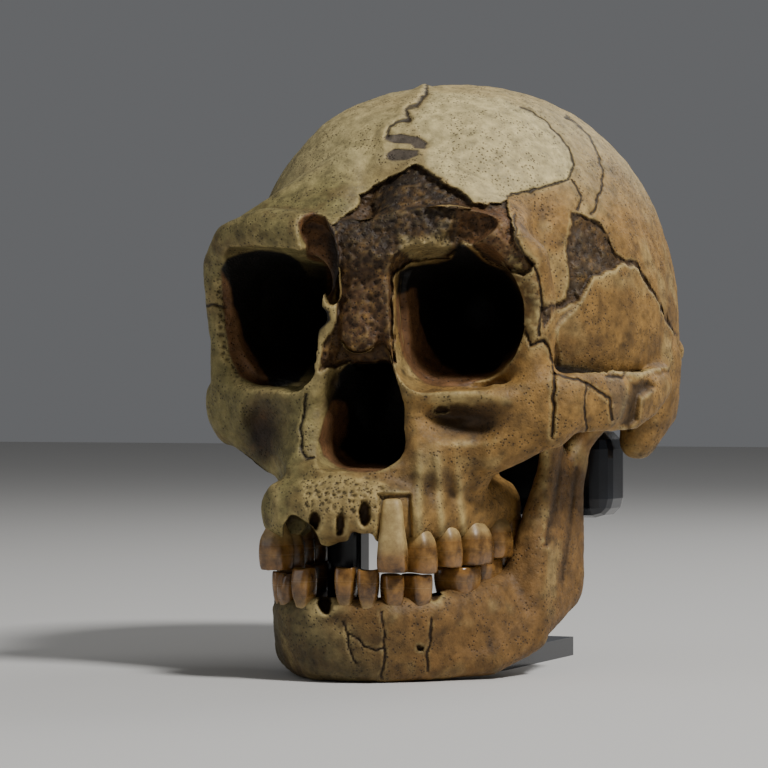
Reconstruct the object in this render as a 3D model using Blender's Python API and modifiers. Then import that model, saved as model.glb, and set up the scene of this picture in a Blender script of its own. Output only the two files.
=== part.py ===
"""Fossil hominin skull with its jaw, at life size, on a dark acrylic display stand.

Sizes are millimetres from the skull's own midline: X to its left, Y to its back, Z up from the floor.
The face looks along -Y. Each bony mass is the hull of a few pebbles (ellipsoids). The masses are fused,
smoothed and hollowed, and the cranium is then parted along thin cuts into its named bones.
"""
import math

import bmesh
import bpy
from mathutils import Euler, Matrix, Vector

MM = 0.001
GAP = 0.3                     # space that touching pieces keep
ORIGIN = (0.0, -0.98, 0.0)    # the middle of the whole thing's box on the floor, in skull millimetres

# Braincase: an egg with different reaches from its centre
VAULT_CENTRE = (0.0, 5.5, 85.0)
VAULT_SIDE = 55.5
VAULT_FRONT = 66.0
VAULT_BACK = 68.5
VAULT_UP = 66.5
VAULT_DOWN = 27.0
VAULT_POWER = 2.22            # above 2 is squarer than an ellipse
TEMPLE_PINCH = 0.12           # how much narrower the front end is, low down
FACE_LEFT = 0.92              # the fossil's face is skewed: its left orbit is narrower
FACE_RIGHT = 1.02

ARCH_SHIFT = -4.9             # the fronts of the tooth rows sit to the skull's right
ARCH_FRONT = -70.0
ARCH_BACK = -46.0             # where that shift has faded out
LOWER_SHARE = 0.87            # how much of it the lower jaw has

CLAY_VOXEL = 1.5
CLAY_SMOOTH = 6
CRANIUM_KEEP = 6800           # triangles left after thinning
MANDIBLE_KEEP = 1700

# Teeth from the midline outwards: name, X, Y, width along the row, width across it
UPPER_ROW = (
    ("canine", 15.4, -68.8, 7.6, 9.0),
    ("premolar_1", 17.5, -61.6, 7.4, 9.8),
    ("premolar_2", 19.7, -54.4, 7.2, 10.2),
    ("molar_1", 21.7, -45.6, 10.4, 11.2),
    ("molar_2", 23.3, -35.2, 10.0, 11.0),
    ("molar_3", 24.0, -26.6, 8.0, 9.0),
)
LOWER_ROW = (
    ("incisor_1", 2.9, -69.2, 5.4, 6.0),
    ("incisor_2", 8.5, -68.8, 5.5, 6.4),
    ("canine", 13.4, -66.4, 5.6, 7.4),
    ("premolar_1", 17.1, -61.8, 6.0, 7.8),
    ("premolar_2", 18.9, -56.0, 6.4, 8.2),
    ("molar_1", 19.7, -47.2, 10.8, 10.0),
    ("molar_2", 21.2, -36.6, 10.4, 10.0),
    ("molar_3", 23.0, -26.8, 9.2, 9.4),
)
UPPER_TIPS = (27.1, 27.4, 28.7, 29.4, 30.8, 33.6)     # biting heights, lowest at the canines
LOWER_TIPS = (28.4, 28.0, 26.7, 26.4, 26.2, 27.0, 28.6, 31.0)
UPPER_CROWN = 9.0
LOWER_CROWN = 7.5
UPPER_ROOT = 42.0             # how deep the roots are sunk
LOWER_ROOT = 15.0
UPPER_LOST = {("molar_3", -1)}
LOWER_LOST = {("incisor_1", -1), ("premolar_2", 1)}

# The display stand
FOOT_OUTLINE = ((-9.0, -56.0), (4.0, -56.0), (22.0, -20.0), (22.0, 34.0), (-22.0, 34.0), (-22.0, -20.0))
FOOT_THICK = 5.0
POST_Y = 16.0
POST_RADIUS = 6.0
CRADLE_LOW = (-40.5, 7.0, 38.0)
CRADLE_HIGH = (40.5, 25.0, 61.0)
CRADLE_ROUND = 5.0
PROP_LOW = (-14.0, -52.0, 5.3)
PROP_HIGH = (-5.0, -44.0, 48.0)
PROP_ROUND = 1.5

# Thin cuts that part the cranium, and a point in the middle of each bone
CUT_LEVEL = 98.0              # over the orbits and temporals
CUT_CROWN = -14.0             # forehead from crown
CUT_NAPE = 45.0               # back of the head
CUT_SIDE = 31.0               # middle from sides
CUT_BASE = -19.5              # upper jaw from skull base
CUT_PILLAR = -38.0            # cheekbones from temporals
CUT_ARCH = -11.0              # rear end of the arches
ARCH_INSIDE = 50.0            # just inside the arches there
WELD = 0.01
SCRAP_FACES = 30
BONES = {
    "frontal": (0, -40, 112), "upper_jaw": (-2, -55, 60),
    "cheekbone_left": (42, -46, 72), "cheekbone_right": (-42, -46, 72),
    "cheek_arch_left": (53, -22, 69), "cheek_arch_right": (-53, -22, 69),
    "temporal_left": (46, 5, 80), "temporal_right": (-46, 5, 80),
    "skull_base": (0, 10, 80), "parietal_left": (28, 15, 125), "parietal_right": (-28, 15, 125),
    "occipital": (0, 60, 90),
}

BONE = (0.52, 0.40, 0.20)
ACRYLIC = (0.02, 0.025, 0.04)


def arch_drift(y, jaw_share=1.0):
    """Sideways shift of a tooth row at one depth."""
    share = (ARCH_BACK - y) / (ARCH_BACK - ARCH_FRONT)
    return ARCH_SHIFT * jaw_share * min(1.0, max(0.0, share))


def to_world(point):
    """Skull millimetres to metres about the object's own origin."""
    return Vector([(value - start) * MM for value, start in zip(point, ORIGIN)])


def clear_scene():
    for obj in list(bpy.data.objects):
        bpy.data.objects.remove(obj, do_unlink=True)
    for collection in list(bpy.data.collections):
        bpy.data.collections.remove(collection)


def new_collection(name):
    collection = bpy.data.collections.new(name)
    bpy.context.scene.collection.children.link(collection)
    return collection


def material(name, colour, roughness):
    made = bpy.data.materials.new(name)
    made.use_nodes = True
    shader = made.node_tree.nodes["Principled BSDF"]
    shader.inputs["Base Color"].default_value = (*colour, 1.0)
    shader.inputs["Roughness"].default_value = roughness
    shader.inputs["Metallic"].default_value = 0.0
    return made


def unit_ball(subdivisions):
    ball = bmesh.new()
    bmesh.ops.create_icosphere(ball, subdivisions=subdivisions, radius=1.0)
    points = [vert.co.copy() for vert in ball.verts]
    ball.free()
    return points


BALL = unit_ball(2)
TIPS_ONLY = [Vector(tip) for axis in range(3) for tip in
             (tuple(sign * (axis == k) for k in range(3)) for sign in (1, -1))]


def add_hull(mesh, pebbles, grow=0.0, points=BALL):
    """Add the hull of some pebbles, each (x, y, z, rx, ry, rz), to a bmesh as one closed shell."""
    shell = bmesh.new()
    for x, y, z, rx, ry, rz in pebbles:
        for point in points:
            place = (x + point.x * (rx + grow), y + point.y * (ry + grow), z + point.z * (rz + grow))
            shell.verts.new(to_world(place))
    hulled = bmesh.ops.convex_hull(shell, input=shell.verts, use_existing_faces=False)
    spare = [item for item in hulled["geom_interior"] if isinstance(item, bmesh.types.BMVert)]
    bmesh.ops.delete(shell, geom=spare, context="VERTS")
    bmesh.ops.recalc_face_normals(shell, faces=shell.faces)
    scrap = bpy.data.meshes.new("scrap")
    shell.to_mesh(scrap)
    shell.free()
    mesh.from_mesh(scrap)
    bpy.data.meshes.remove(scrap)


def mirrored(pebbles, side):
    return [(x * side, y, z, rx, ry, rz) for x, y, z, rx, ry, rz in pebbles]


def add_pair(mesh, pebbles):
    """The same hull on the skull's left and right."""
    for side in (1, -1):
        add_hull(mesh, mirrored(pebbles, side))


def add_chain(mesh, pebbles):
    """A bent bar: the hull of each pebble and the next."""
    for first, second in zip(pebbles, pebbles[1:]):
        add_hull(mesh, (first, second))


def add_chain_pair(mesh, pebbles):
    for side in (1, -1):
        add_chain(mesh, mirrored(pebbles, side))


def mesh_object(name, mesh, collection):
    data = bpy.data.meshes.new(name)
    mesh.to_mesh(data)
    mesh.free()
    obj = bpy.data.objects.new(name, data)
    collection.objects.link(obj)
    return obj


def bake_modifiers(obj):
    """Make the evaluated shape the object's own mesh."""
    graph = bpy.context.evaluated_depsgraph_get()
    graph.update()
    baked = bpy.data.meshes.new_from_object(obj.evaluated_get(graph))
    old = obj.data
    obj.modifiers.clear()
    obj.data = baked
    baked.name = old.name
    bpy.data.meshes.remove(old)


def fuse_clay(obj, voxel=CLAY_VOXEL, smooth=CLAY_SMOOTH):
    remesh = obj.modifiers.new("fuse", "REMESH")
    remesh.mode = "VOXEL"
    remesh.voxel_size = voxel * MM
    soften = obj.modifiers.new("soften", "SMOOTH")
    soften.factor = 0.5
    soften.iterations = smooth
    bake_modifiers(obj)


def thin_out(obj, triangles):
    obj.data.calc_loop_triangles()
    thin = obj.modifiers.new("thin", "DECIMATE")
    thin.ratio = min(1.0, triangles / len(obj.data.loop_triangles))
    thin.use_collapse_triangulate = True
    bake_modifiers(obj)


def boolean(obj, other, operation, solver="EXACT"):
    cut = obj.modifiers.new(operation.lower(), "BOOLEAN")
    cut.operation = operation
    cut.object = other
    cut.solver = solver
    bake_modifiers(obj)


def keep_largest(obj):
    """Keep the closed surface that has the most faces and drop loose scraps."""
    mesh = bmesh.new()
    mesh.from_mesh(obj.data)
    bmesh.ops.remove_doubles(mesh, verts=mesh.verts, dist=WELD * MM)
    bmesh.ops.dissolve_degenerate(mesh, edges=mesh.edges, dist=WELD * MM)
    for group in face_groups(mesh)[:-1]:
        bmesh.ops.delete(mesh, geom=group, context="FACES")
    bmesh.ops.triangulate(mesh, faces=mesh.faces)
    mesh.to_mesh(obj.data)
    mesh.free()


def vault_mesh(mesh):
    """The braincase: a ball pulled out by different reaches, squared a little and pinched at the temples."""
    egg = bmesh.new()
    bmesh.ops.create_icosphere(egg, subdivisions=5, radius=1.0)
    for vert in egg.verts:
        x, y, z = vert.co
        size = (abs(x) ** VAULT_POWER + abs(y) ** VAULT_POWER + abs(z) ** VAULT_POWER) ** (1.0 / VAULT_POWER)
        x, y, z = x / size, y / size, z / size
        pinch = 1.0 - TEMPLE_PINCH * max(0.0, -y) ** 1.5 * max(0.0, 1.0 - max(0.0, z)) ** 0.5
        reach_y = VAULT_FRONT if y < 0.0 else VAULT_BACK
        reach_z = VAULT_DOWN if z < 0.0 else VAULT_UP
        place = (x * VAULT_SIDE * pinch, y * reach_y, z * reach_z)
        vert.co = to_world([start + value for start, value in zip(VAULT_CENTRE, place)])
    scrap = bpy.data.meshes.new("scrap")
    egg.to_mesh(scrap)
    egg.free()
    mesh.from_mesh(scrap)
    bpy.data.meshes.remove(scrap)
    add_hull(mesh, ((-12, -15, 111.5, 30, 30, 35.5),))       # the forehead is fuller on its right


def face_side(pebbles, side):
    """Mirror pebbles to one side of the skewed face."""
    share = FACE_LEFT if side > 0 else FACE_RIGHT
    return [(x * side * share, y, z, rx, ry, rz) for x, y, z, rx, ry, rz in pebbles]


def add_brows(mesh):
    """Brow ridge, the outer pillar of each orbit down to the cheek, and the roof back to the forehead."""
    for side in (1, -1):
        add_chain(mesh, face_side((
            (0, -61.5, 105, 8, 6, 8), (13, -62.5, 109.5, 6, 6.5, 6), (25, -61, 111.5, 6, 6.5, 5.5),
            (36, -56.0, 109.0, 6, 6.5, 5.2), (42.6, -49.5, 103, 4.8, 6, 5.6), (44.4, -46.5, 94, 3.8, 5.5, 5),
            (43.4, -45.0, 84, 4.0, 5.5, 5), (42, -46.0, 74, 5, 6, 5)), side))
        add_hull(mesh, face_side((
            (36, -53, 109, 6, 6, 5), (10, -57, 112, 8, 6, 6), (10, -40, 124, 10, 10, 9),
            (30, -34, 114, 8, 9, 9)), side))
        add_hull(mesh, face_side((
            (42, -47, 100, 4, 4, 6), (36, -52, 108, 5, 5, 5), (34, -30, 104, 5, 6, 12),
            (38, -40, 90, 3, 4, 10)), side))


def add_cheeks(mesh):
    """Cheekbone bodies with their roots on the upper jaw, and the arches back to the ears."""
    add_pair(mesh, ((41, -47, 73, 5, 5.5, 4), (47, -42, 68, 4.2, 6, 7.4), (43.5, -44, 62, 4, 6, 5),
                    (33, -52, 67, 4, 4.5, 5)))
    add_pair(mesh, ((33, -52, 65, 5, 5, 5), (28.5, -50, 55, 4, 6, 5), (42, -44, 62, 4, 5, 4.4)))
    add_chain_pair(mesh, (
        (46.8, -41, 68.5, 3.8, 5, 7.6), (52, -31, 68.5, 3.4, 5, 7.6), (55.4, -19, 68.5, 3.3, 5, 7.4),
        (56.2, -7, 70, 3.4, 5, 6), (54.5, 4, 73, 4.4, 6, 5)))


def add_orbit_floors(mesh):
    """Lower rim of each orbit and the bone beside the nose."""
    add_chain_pair(mesh, (
        (41, -47, 71, 4.5, 4.8, 4), (33, -53.5, 68.6, 4, 4.4, 4.6), (23, -58, 68.6, 4, 4.4, 4.6),
        (13.8, -60.5, 71.2, 3.8, 4.4, 4.4), (10.6, -61, 80, 3.2, 4.4, 5), (8, -61.5, 90, 3.2, 4.4, 5),
        (6, -61, 99, 4, 5, 5)))
    add_hull(mesh, ((0, -64, 84, 5, 3.4, 4), (0, -62, 97, 6, 4.4, 5)))


def add_midface(mesh):
    """The solid core between the orbits, the palate and the braincase."""
    add_hull(mesh, ((12, -52, 98, 14, 8, 10), (-12, -52, 98, 14, 8, 10), (0, -46, 78, 28, 8, 8),
                    (0, -20, 80, 30, 8, 12)))
    add_pair(mesh, ((14, -58, 69, 4, 5, 4), (15, -61.5, 53, 4, 4.5, 5), (29, -50, 64, 5, 6, 6),
                    (23, -48, 50, 5, 7, 5), (10, -40, 66, 6, 8, 10)))
    add_hull(mesh, ((14, -56, 56, 5, 6, 8), (-14, -56, 56, 5, 6, 8), (18, -34, 58, 6, 8, 8),
                    (-18, -34, 58, 6, 8, 8)))
    add_pair(mesh, ((28, -50, 90, 9, 4, 10), (36, -44, 86, 4, 4, 16), (26, -30, 88, 8, 8, 12)))
    add_pair(mesh, ((15, -25, 60, 3.2, 6, 7), (17, -22, 47, 3, 4.4, 4)))


def add_upper_arch(mesh):
    """The ridge that the upper teeth grow from, and the palate inside it."""
    row = [(0.0, -71.5), (9.0, -70.4)] + [(x - 0.8, y + 1.0) for _, x, y, _, _ in UPPER_ROW]
    for side in (1, -1):
        add_chain(mesh, [(x * side + arch_drift(y), y, 42.2, 5.2, 5.2, 7.0) for x, y in row])
    add_hull(mesh, ((ARCH_SHIFT, -65, 51, 9, 6, 4), (13, -56, 51, 6, 6, 4), (-18, -56, 51, 6, 6, 4),
                    (18, -30, 52, 6, 6, 4), (-23, -30, 52, 6, 6, 4)))
    add_hull(mesh, ((ARCH_SHIFT, -67.5, 49, 13, 4.4, 4), (11, -63, 52, 5, 4, 4), (-15, -63, 52, 5, 4, 4)))


def add_skull_sides(mesh):
    """The crest over each ear, the mastoids, the nuchal line and the two condyles for the neck."""
    add_pair(mesh, ((53, 14, 79, 4, 13, 7), (50, 20, 68, 5, 10, 8)))
    add_pair(mesh, ((48.5, 17, 66, 6.5, 9, 8), (46, 16, 58, 4.8, 6.4, 5)))
    add_chain_pair(mesh, ((0, 70.5, 86, 9, 4, 4), (26, 63, 85, 9, 4, 4), (42, 47.5, 82, 7, 6, 5)))
    add_pair(mesh, ((11, 30, 58, 4, 7, 4), (8, 37, 59, 4, 4, 4)))


def orbit_cutters(mesh):
    for side in (1, -1):
        add_hull(mesh, face_side((
            (16.6, -66, 99.0, 7.4, 3, 8), (33, -62, 99.5, 8, 3, 8), (34, -60, 79.5, 7, 3, 8.4),
            (18.2, -64, 79.2, 7.8, 3, 8.4), (14, -12, 90, 7, 5, 8)), side))
        add_hull(mesh, face_side((
            (34.5, -56, 89.5, 7.6, 6, 14), (30, -40, 90, 8, 4, 12), (18, -16, 90, 7, 5, 8)), side))


def nose_cutters(mesh):
    """A deep pear-shaped opening with a two-lobed top."""
    add_hull(mesh, ((6.4, -72, 57.4, 5.4, 4, 5.8), (-6.0, -72, 57.4, 5.4, 4, 5.8),
                    (6.4, -70, 72.5, 4.0, 4, 4.5), (-5.4, -70, 72, 4.0, 4, 4.5), (6, -30, 60, 6, 4, 6),
                    (-6, -30, 60, 6, 4, 6), (0, -30, 76, 6, 4, 5)))
    add_hull(mesh, ((5.2, -70, 76, 3.2, 4, 3.4), (4, -52, 74, 3, 4, 4)))
    add_hull(mesh, ((-4.8, -70, 76, 3.4, 4, 3.4), (-4, -52, 74, 3, 4, 4)))


def damage_cutters(mesh):
    """Broken places that show from a step away: forehead recess, inner brow hole, left brow notch."""
    add_hull(mesh, ((-3, -71.0, 117, 5, 6, 6), (11, -66, 126, 5, 6, 4), (28, -66.5, 117, 7, 6, 4),
                    (10, -71.5, 108, 12, 6, 5)))
    add_chain(mesh, ((-11.2, -69, 112.5, 3.8, 8, 3.4), (-9.2, -68, 105, 4.4, 9, 4),
                     (-7.0, -67, 95, 2.4, 8, 3)))
    add_hull(mesh, ((24, -66, 107, 5, 8, 4), (30, -64, 112, 6, 7, 3)))


def base_cutters(mesh):
    """Openings below and at the sides: the great hole for the spinal cord and the ear holes."""
    add_hull(mesh, ((0, 44, 54, 12, 11, 6), (0, 44, 66, 9, 8, 4)))
    add_pair(mesh, ((60, 8.5, 70, 3, 3.4, 4.2), (47, 8, 70, 2, 2.4, 3)))


def temple_cutters(mesh):
    """The hollow between each arch and the braincase, where the chewing muscle ran."""
    add_pair(mesh, ((42, -34, 72, 3.8, 3, 12), (45, -24, 70, 4.2, 5, 12), (46.8, -13, 68, 4.2, 4, 9),
                    (44, -22, 56, 5, 7, 6), (50.5, -26, 86, 2.6, 7, 4)))


def palate_cutter(mesh):
    add_hull(mesh, ((ARCH_SHIFT, -62, 40, 7.4, 5, 6), (9, -48, 40, 7, 6, 6.5), (-14, -48, 40, 7, 6, 6.5),
                    (12, -22, 40, 7, 6, 7), (-17, -22, 40, 7, 6, 7)))


def condyle_pebbles():
    return ((35, -5, 64.4, 3.4, 3.6, 2.6), (43, -4.5, 64.6, 3.2, 3.6, 2.4))


def add_jaw(mesh):
    """Lower jaw: the body's stations from the chin back, then the rami with their two horns."""
    # X low, X high, Y, half thickness, low Z, high Z
    stations = (
        (0.0, 0.0, -66.8, 5.2, 5.0, 16.4), (7.2, 12.4, -65.2, 5.2, 5.0, 16.4),
        (15.8, 18.8, -57.0, 5.2, 5.0, 17.0), (26.0, 22.2, -44.0, 5.2, 6.0, 19.0),
        (32.4, 26.4, -31.0, 5.0, 10.6, 22.0))
    for side in (1, -1):
        for first, second in zip(stations, stations[1:]):
            pebbles = []
            for low_x, high_x, y, thick, low, high in (first, second):
                drift = arch_drift(y, LOWER_SHARE)
                pebbles.append((low_x * side + drift, y + 0.6, low, thick, thick, 5.2))
                pebbles.append((high_x * side + drift, y - 0.6, high, thick - 0.2, thick - 0.2, 4.6))
            add_hull(mesh, pebbles)
    add_pair(mesh, ((32.4, -32, 12, 4.6, 4, 6), (29, -31, 22, 4, 4, 5), (36.0, -10.5, 22, 3.4, 6, 6.5),
                    (34.6, -24, 47, 3.0, 5.5, 6), (35.6, -7.5, 46, 3.0, 5, 6)))
    add_pair(mesh, ((34.6, -24, 44, 3.0, 5.5, 6), (35.5, -22.5, 60, 2.2, 3.8, 3), (35, -14, 47, 2.8, 5, 5)))
    add_pair(mesh, ((35.6, -8, 46, 3, 5, 6), (37, -5.4, 59, 3.4, 3.4, 3), (35, -14, 45, 2.8, 5, 5)))
    add_pair(mesh, ((37, -5.4, 58, 3.4, 3.4, 3),) + condyle_pebbles())


def tooth_pebbles(x, y, turn, along, across, root_z, neck_z, tip_z):
    """Corner pebbles for the crown's biting edge and neck, and one for the sunken root."""
    up = 1.0 if tip_z > root_z else -1.0
    pebbles = []
    for height, share, round_off in ((tip_z - up * 1.6, 0.94, 1.6), (neck_z, 0.80, 1.8)):
        reach = along * 0.30 * share
        for step, cross in ((1, 1), (1, -1), (-1, 1), (-1, -1)):
            shift = Vector((step * (along * share / 2 - reach), cross * (across * share / 2 - reach), 0.0))
            shift.rotate(Euler((0.0, 0.0, turn)))
            pebbles.append((x + shift.x, y + shift.y, height, reach, reach, round_off))
    pebbles.append((x, y, root_z, along * 0.3, along * 0.3, 2.0))
    return pebbles


def row_turn(row, index):
    """The direction of the row at one tooth, from its neighbours."""
    before = row[max(0, index - 1)]
    after = row[min(len(row) - 1, index + 1)]
    start_x = before[1] if index else -before[1]
    return math.atan2(after[2] - before[2], after[1] - start_x)


def tooth_object(row, index, side, root_z, tips, crown, collection, grow=0.0):
    """One tooth as a closed shell whose root sinks into the jaw."""
    _, x, y, along, across = row[index]
    turn = row_turn(row, index) * side
    drift = arch_drift(y, LOWER_SHARE if row is LOWER_ROW else 1.0)
    pebbles = tooth_pebbles(x * side + drift, y, turn, along - GAP, across, root_z, tips[index] + crown,
                            tips[index])
    mesh = bmesh.new()
    add_hull(mesh, pebbles, grow, TIPS_ONLY)
    return mesh_object("tooth", mesh, collection)


def add_teeth(collection, row, lost, root_z, tips, crown):
    """Every tooth of a row that is still there."""
    teeth = []
    for index, tooth in enumerate(row):
        for side in (1, -1):
            if (tooth[0], side) not in lost:
                teeth.append(tooth_object(row, index, side, root_z, tips, crown, collection))
    return teeth


def fuse_teeth(jaw, teeth):
    for tooth in teeth:
        boolean(jaw, tooth, "UNION")
        bpy.data.objects.remove(tooth, do_unlink=True)
    keep_largest(jaw)


def box_object(name, low, high, collection):
    """A plain block between two corners in skull millimetres."""
    mesh = bmesh.new()
    bmesh.ops.create_cube(mesh, size=1.0)
    size = [(top - bottom) * MM for bottom, top in zip(low, high)]
    middle = to_world([(bottom + top) / 2.0 for bottom, top in zip(low, high)])
    mesh.transform(Matrix.Translation(middle) @ Matrix.Diagonal((*size, 1.0)))
    return mesh_object(name, mesh, collection)


def cut_with(obj, tool, operation="DIFFERENCE"):
    boolean(obj, tool, operation)
    bpy.data.objects.remove(tool, do_unlink=True)


def cutter(name, fill, collection):
    mesh = bmesh.new()
    fill(mesh)
    obj = mesh_object(name, mesh, collection)
    obj.hide_render = True
    obj.display_type = "WIRE"
    return obj


def build_cranium(parts, cutters):
    mesh = bmesh.new()
    vault_mesh(mesh)
    for add in (add_brows, add_cheeks, add_orbit_floors, add_midface, add_upper_arch, add_skull_sides):
        add(mesh)
    cranium = mesh_object("cranium", mesh, parts)
    fuse_clay(cranium)
    fills = {"orbits": orbit_cutters, "nose": nose_cutters, "damage": damage_cutters,
             "base_holes": base_cutters, "palate": palate_cutter, "temples": temple_cutters}
    for name, fill in fills.items():
        tool = cutter(name, fill, cutters)
        fuse_clay(tool, CLAY_VOXEL, 1)
        cut_with(cranium, tool)
    fuse_clay(cranium, CLAY_VOXEL, 3)
    keep_largest(cranium)
    thin_out(cranium, CRANIUM_KEEP)
    return cranium


def build_mandible(parts, cutters):
    mesh = bmesh.new()
    add_jaw(mesh)
    mandible = mesh_object("mandible", mesh, parts)
    fuse_clay(mandible, 1.3, 4)
    keep_largest(mandible)
    thin_out(mandible, MANDIBLE_KEEP)
    cut_with(mandible, box_object("floor_cut", (-60, -90, -10), (60, 20, 0), cutters))
    return mandible


def part_cranium(cranium, parts, cutters):
    """Saw the cranium along thin flat cuts, then name each piece by a point that lies nearest to it."""
    half = GAP / 2.0
    wide = 90.0
    sheets = [((-wide, -wide, CUT_LEVEL - half), (wide, CUT_NAPE + half, CUT_LEVEL + half)),
              ((-wide, CUT_CROWN - half, CUT_LEVEL), (wide, CUT_CROWN + half, 200)),
              ((-half, CUT_CROWN, CUT_LEVEL), (half, CUT_NAPE + half, 200)),
              ((-wide, CUT_NAPE - half, 0), (wide, CUT_NAPE + half, 200)),
              ((-CUT_SIDE, CUT_BASE - half, 0), (CUT_SIDE, CUT_BASE + half, CUT_LEVEL))]
    for side in (1, -1):
        edges = sorted((side * (CUT_SIDE - half), side * (CUT_SIDE + half)))
        outer = sorted((side * CUT_SIDE, side * wide))
        arch = sorted((side * ARCH_INSIDE, side * wide))
        sheets.append(((edges[0], -wide, 0), (edges[1], CUT_NAPE, CUT_LEVEL)))
        sheets.append(((outer[0], CUT_PILLAR - half, 0), (outer[1], CUT_PILLAR + half, CUT_LEVEL)))
        sheets.append(((arch[0], CUT_ARCH - half, 60), (arch[1], CUT_ARCH + half, 81)))
    for low, high in sheets:
        cut_with(cranium, box_object("saw", low, high, cutters))
    pieces = loose_pieces(cranium, parts)
    bones = []
    for name, point in BONES.items():
        place = to_world(point)
        nearest = min(pieces, key=lambda piece: (piece_middle(piece) - place).length)
        nearest.name = name
        pieces.remove(nearest)
        bones.append(nearest)
    for scrap in pieces:
        bpy.data.objects.remove(scrap, do_unlink=True)
    return bones


def piece_middle(piece):
    total = Vector((0.0, 0.0, 0.0))
    for vert in piece.data.vertices:
        total += vert.co
    return total / len(piece.data.vertices)


def face_groups(mesh):
    """The connected surfaces of a bmesh, smallest first."""
    unseen = set(mesh.faces)
    groups = []
    while unseen:
        group = []
        front = [unseen.pop()]
        while front:
            face = front.pop()
            group.append(face)
            for edge in face.edges:
                for near in edge.link_faces:
                    if near in unseen:
                        unseen.discard(near)
                        front.append(near)
        groups.append(group)
    return sorted(groups, key=len)


def loose_pieces(whole, collection):
    """Each separate closed surface as its own object, leaving out scraps of a few faces."""
    mesh = bmesh.new()
    mesh.from_mesh(whole.data)
    mesh.faces.ensure_lookup_table()
    sets = [{face.index for face in group} for group in face_groups(mesh)]
    mesh.free()
    pieces = []
    for faces in sets:
        if len(faces) < SCRAP_FACES:
            continue
        piece = bmesh.new()
        piece.from_mesh(whole.data)
        piece.faces.ensure_lookup_table()
        spare = [face for face in piece.faces if face.index not in faces]
        bmesh.ops.delete(piece, geom=spare, context="FACES")
        pieces.append(mesh_object("piece", piece, collection))
    bpy.data.objects.remove(whole, do_unlink=True)
    return pieces


def rounded_block(name, low, high, radius, collection):
    block = box_object(name, low, high, collection)
    bevel = block.modifiers.new("round", "BEVEL")
    bevel.width = radius * MM
    bevel.segments = 3
    bevel.limit_method = "ANGLE"
    return block


def add_stand(parts):
    """Foot plate, rear post with its cradle under the skull base, and the prop inside the mouth."""
    foot = bpy.data.curves.new("stand_base", "CURVE")
    foot.dimensions = "2D"
    foot.fill_mode = "BOTH"
    foot.extrude = FOOT_THICK * MM / 2
    outline = foot.splines.new("POLY")
    outline.points.add(len(FOOT_OUTLINE) - 1)
    for point, (x, y) in zip(outline.points, FOOT_OUTLINE):
        place = to_world((x, y, FOOT_THICK / 2))
        point.co = (place.x, place.y, 0.0, 1.0)
    outline.use_cyclic_u = True
    plate = bpy.data.objects.new("stand_base", foot)
    parts.objects.link(plate)
    plate.location.z = FOOT_THICK * MM / 2
    post = bpy.data.meshes.new("stand_post")
    mesh = bmesh.new()
    bmesh.ops.create_cone(mesh, cap_ends=True, segments=24,
                          radius1=POST_RADIUS * MM, radius2=POST_RADIUS * MM,
                          depth=(CRADLE_LOW[2] - FOOT_THICK - 2 * GAP) * MM)
    mesh.to_mesh(post)
    mesh.free()
    post.shade_smooth()
    post.set_sharp_from_angle(angle=math.radians(30))
    rod = bpy.data.objects.new("stand_post", post)
    rod.location = to_world((0.0, POST_Y, (CRADLE_LOW[2] + FOOT_THICK) / 2))
    parts.objects.link(rod)
    cradle = rounded_block("stand_cradle", CRADLE_LOW, CRADLE_HIGH, CRADLE_ROUND, parts)
    prop = rounded_block("stand_prop", PROP_LOW, PROP_HIGH, PROP_ROUND, parts)
    acrylic = material("dark_acrylic", ACRYLIC, 0.15)
    for piece in (plate, rod, cradle, prop):
        piece.data.materials.append(acrylic)


def seat_cuts(cranium, cutters):
    """Beds in the cranium's underside for the cradle, the prop and the two jaw joints."""
    for low, high in ((CRADLE_LOW, CRADLE_HIGH), (PROP_LOW, PROP_HIGH)):
        low = [value - GAP for value in low]
        high = [value + GAP for value in high]
        cut_with(cranium, box_object("seat", low, high, cutters))
    for side in (1, -1):
        mesh = bmesh.new()
        add_hull(mesh, mirrored(condyle_pebbles(), side), GAP + 0.2)
        cut_with(cranium, mesh_object("socket", mesh, cutters))


def main():
    clear_scene()
    parts = new_collection("fossil_skull")
    cutters = new_collection("cutters")
    cranium = build_cranium(parts, cutters)
    mandible = build_mandible(parts, cutters)
    seat_cuts(cranium, cutters)
    fuse_teeth(cranium, add_teeth(parts, UPPER_ROW, UPPER_LOST, UPPER_ROOT, UPPER_TIPS, UPPER_CROWN))
    fuse_teeth(mandible, add_teeth(parts, LOWER_ROW, LOWER_LOST, LOWER_ROOT, LOWER_TIPS, -LOWER_CROWN))
    for side in (1, -1):
        canine = tooth_object(UPPER_ROW, 0, side, UPPER_ROOT, UPPER_TIPS, UPPER_CROWN, cutters, GAP + 0.1)
        cut_with(mandible, canine)
    bone = material("fossil_bone", BONE, 0.6)
    for obj in part_cranium(cranium, parts, cutters) + [mandible]:
        keep_largest(obj)
        obj.data.materials.clear()
        obj.data.materials.append(bone)
    add_stand(parts)


main()
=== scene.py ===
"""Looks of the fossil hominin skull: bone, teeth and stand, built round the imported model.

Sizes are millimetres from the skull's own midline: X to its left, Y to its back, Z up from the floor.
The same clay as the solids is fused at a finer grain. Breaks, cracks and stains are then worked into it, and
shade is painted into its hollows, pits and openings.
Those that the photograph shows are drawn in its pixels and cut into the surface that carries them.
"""
import itertools
import math

import bmesh
import bpy
import numpy as np
from mathutils import Euler, Matrix, Vector
from mathutils.bvhtree import BVHTree
from mathutils.kdtree import KDTree


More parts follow.
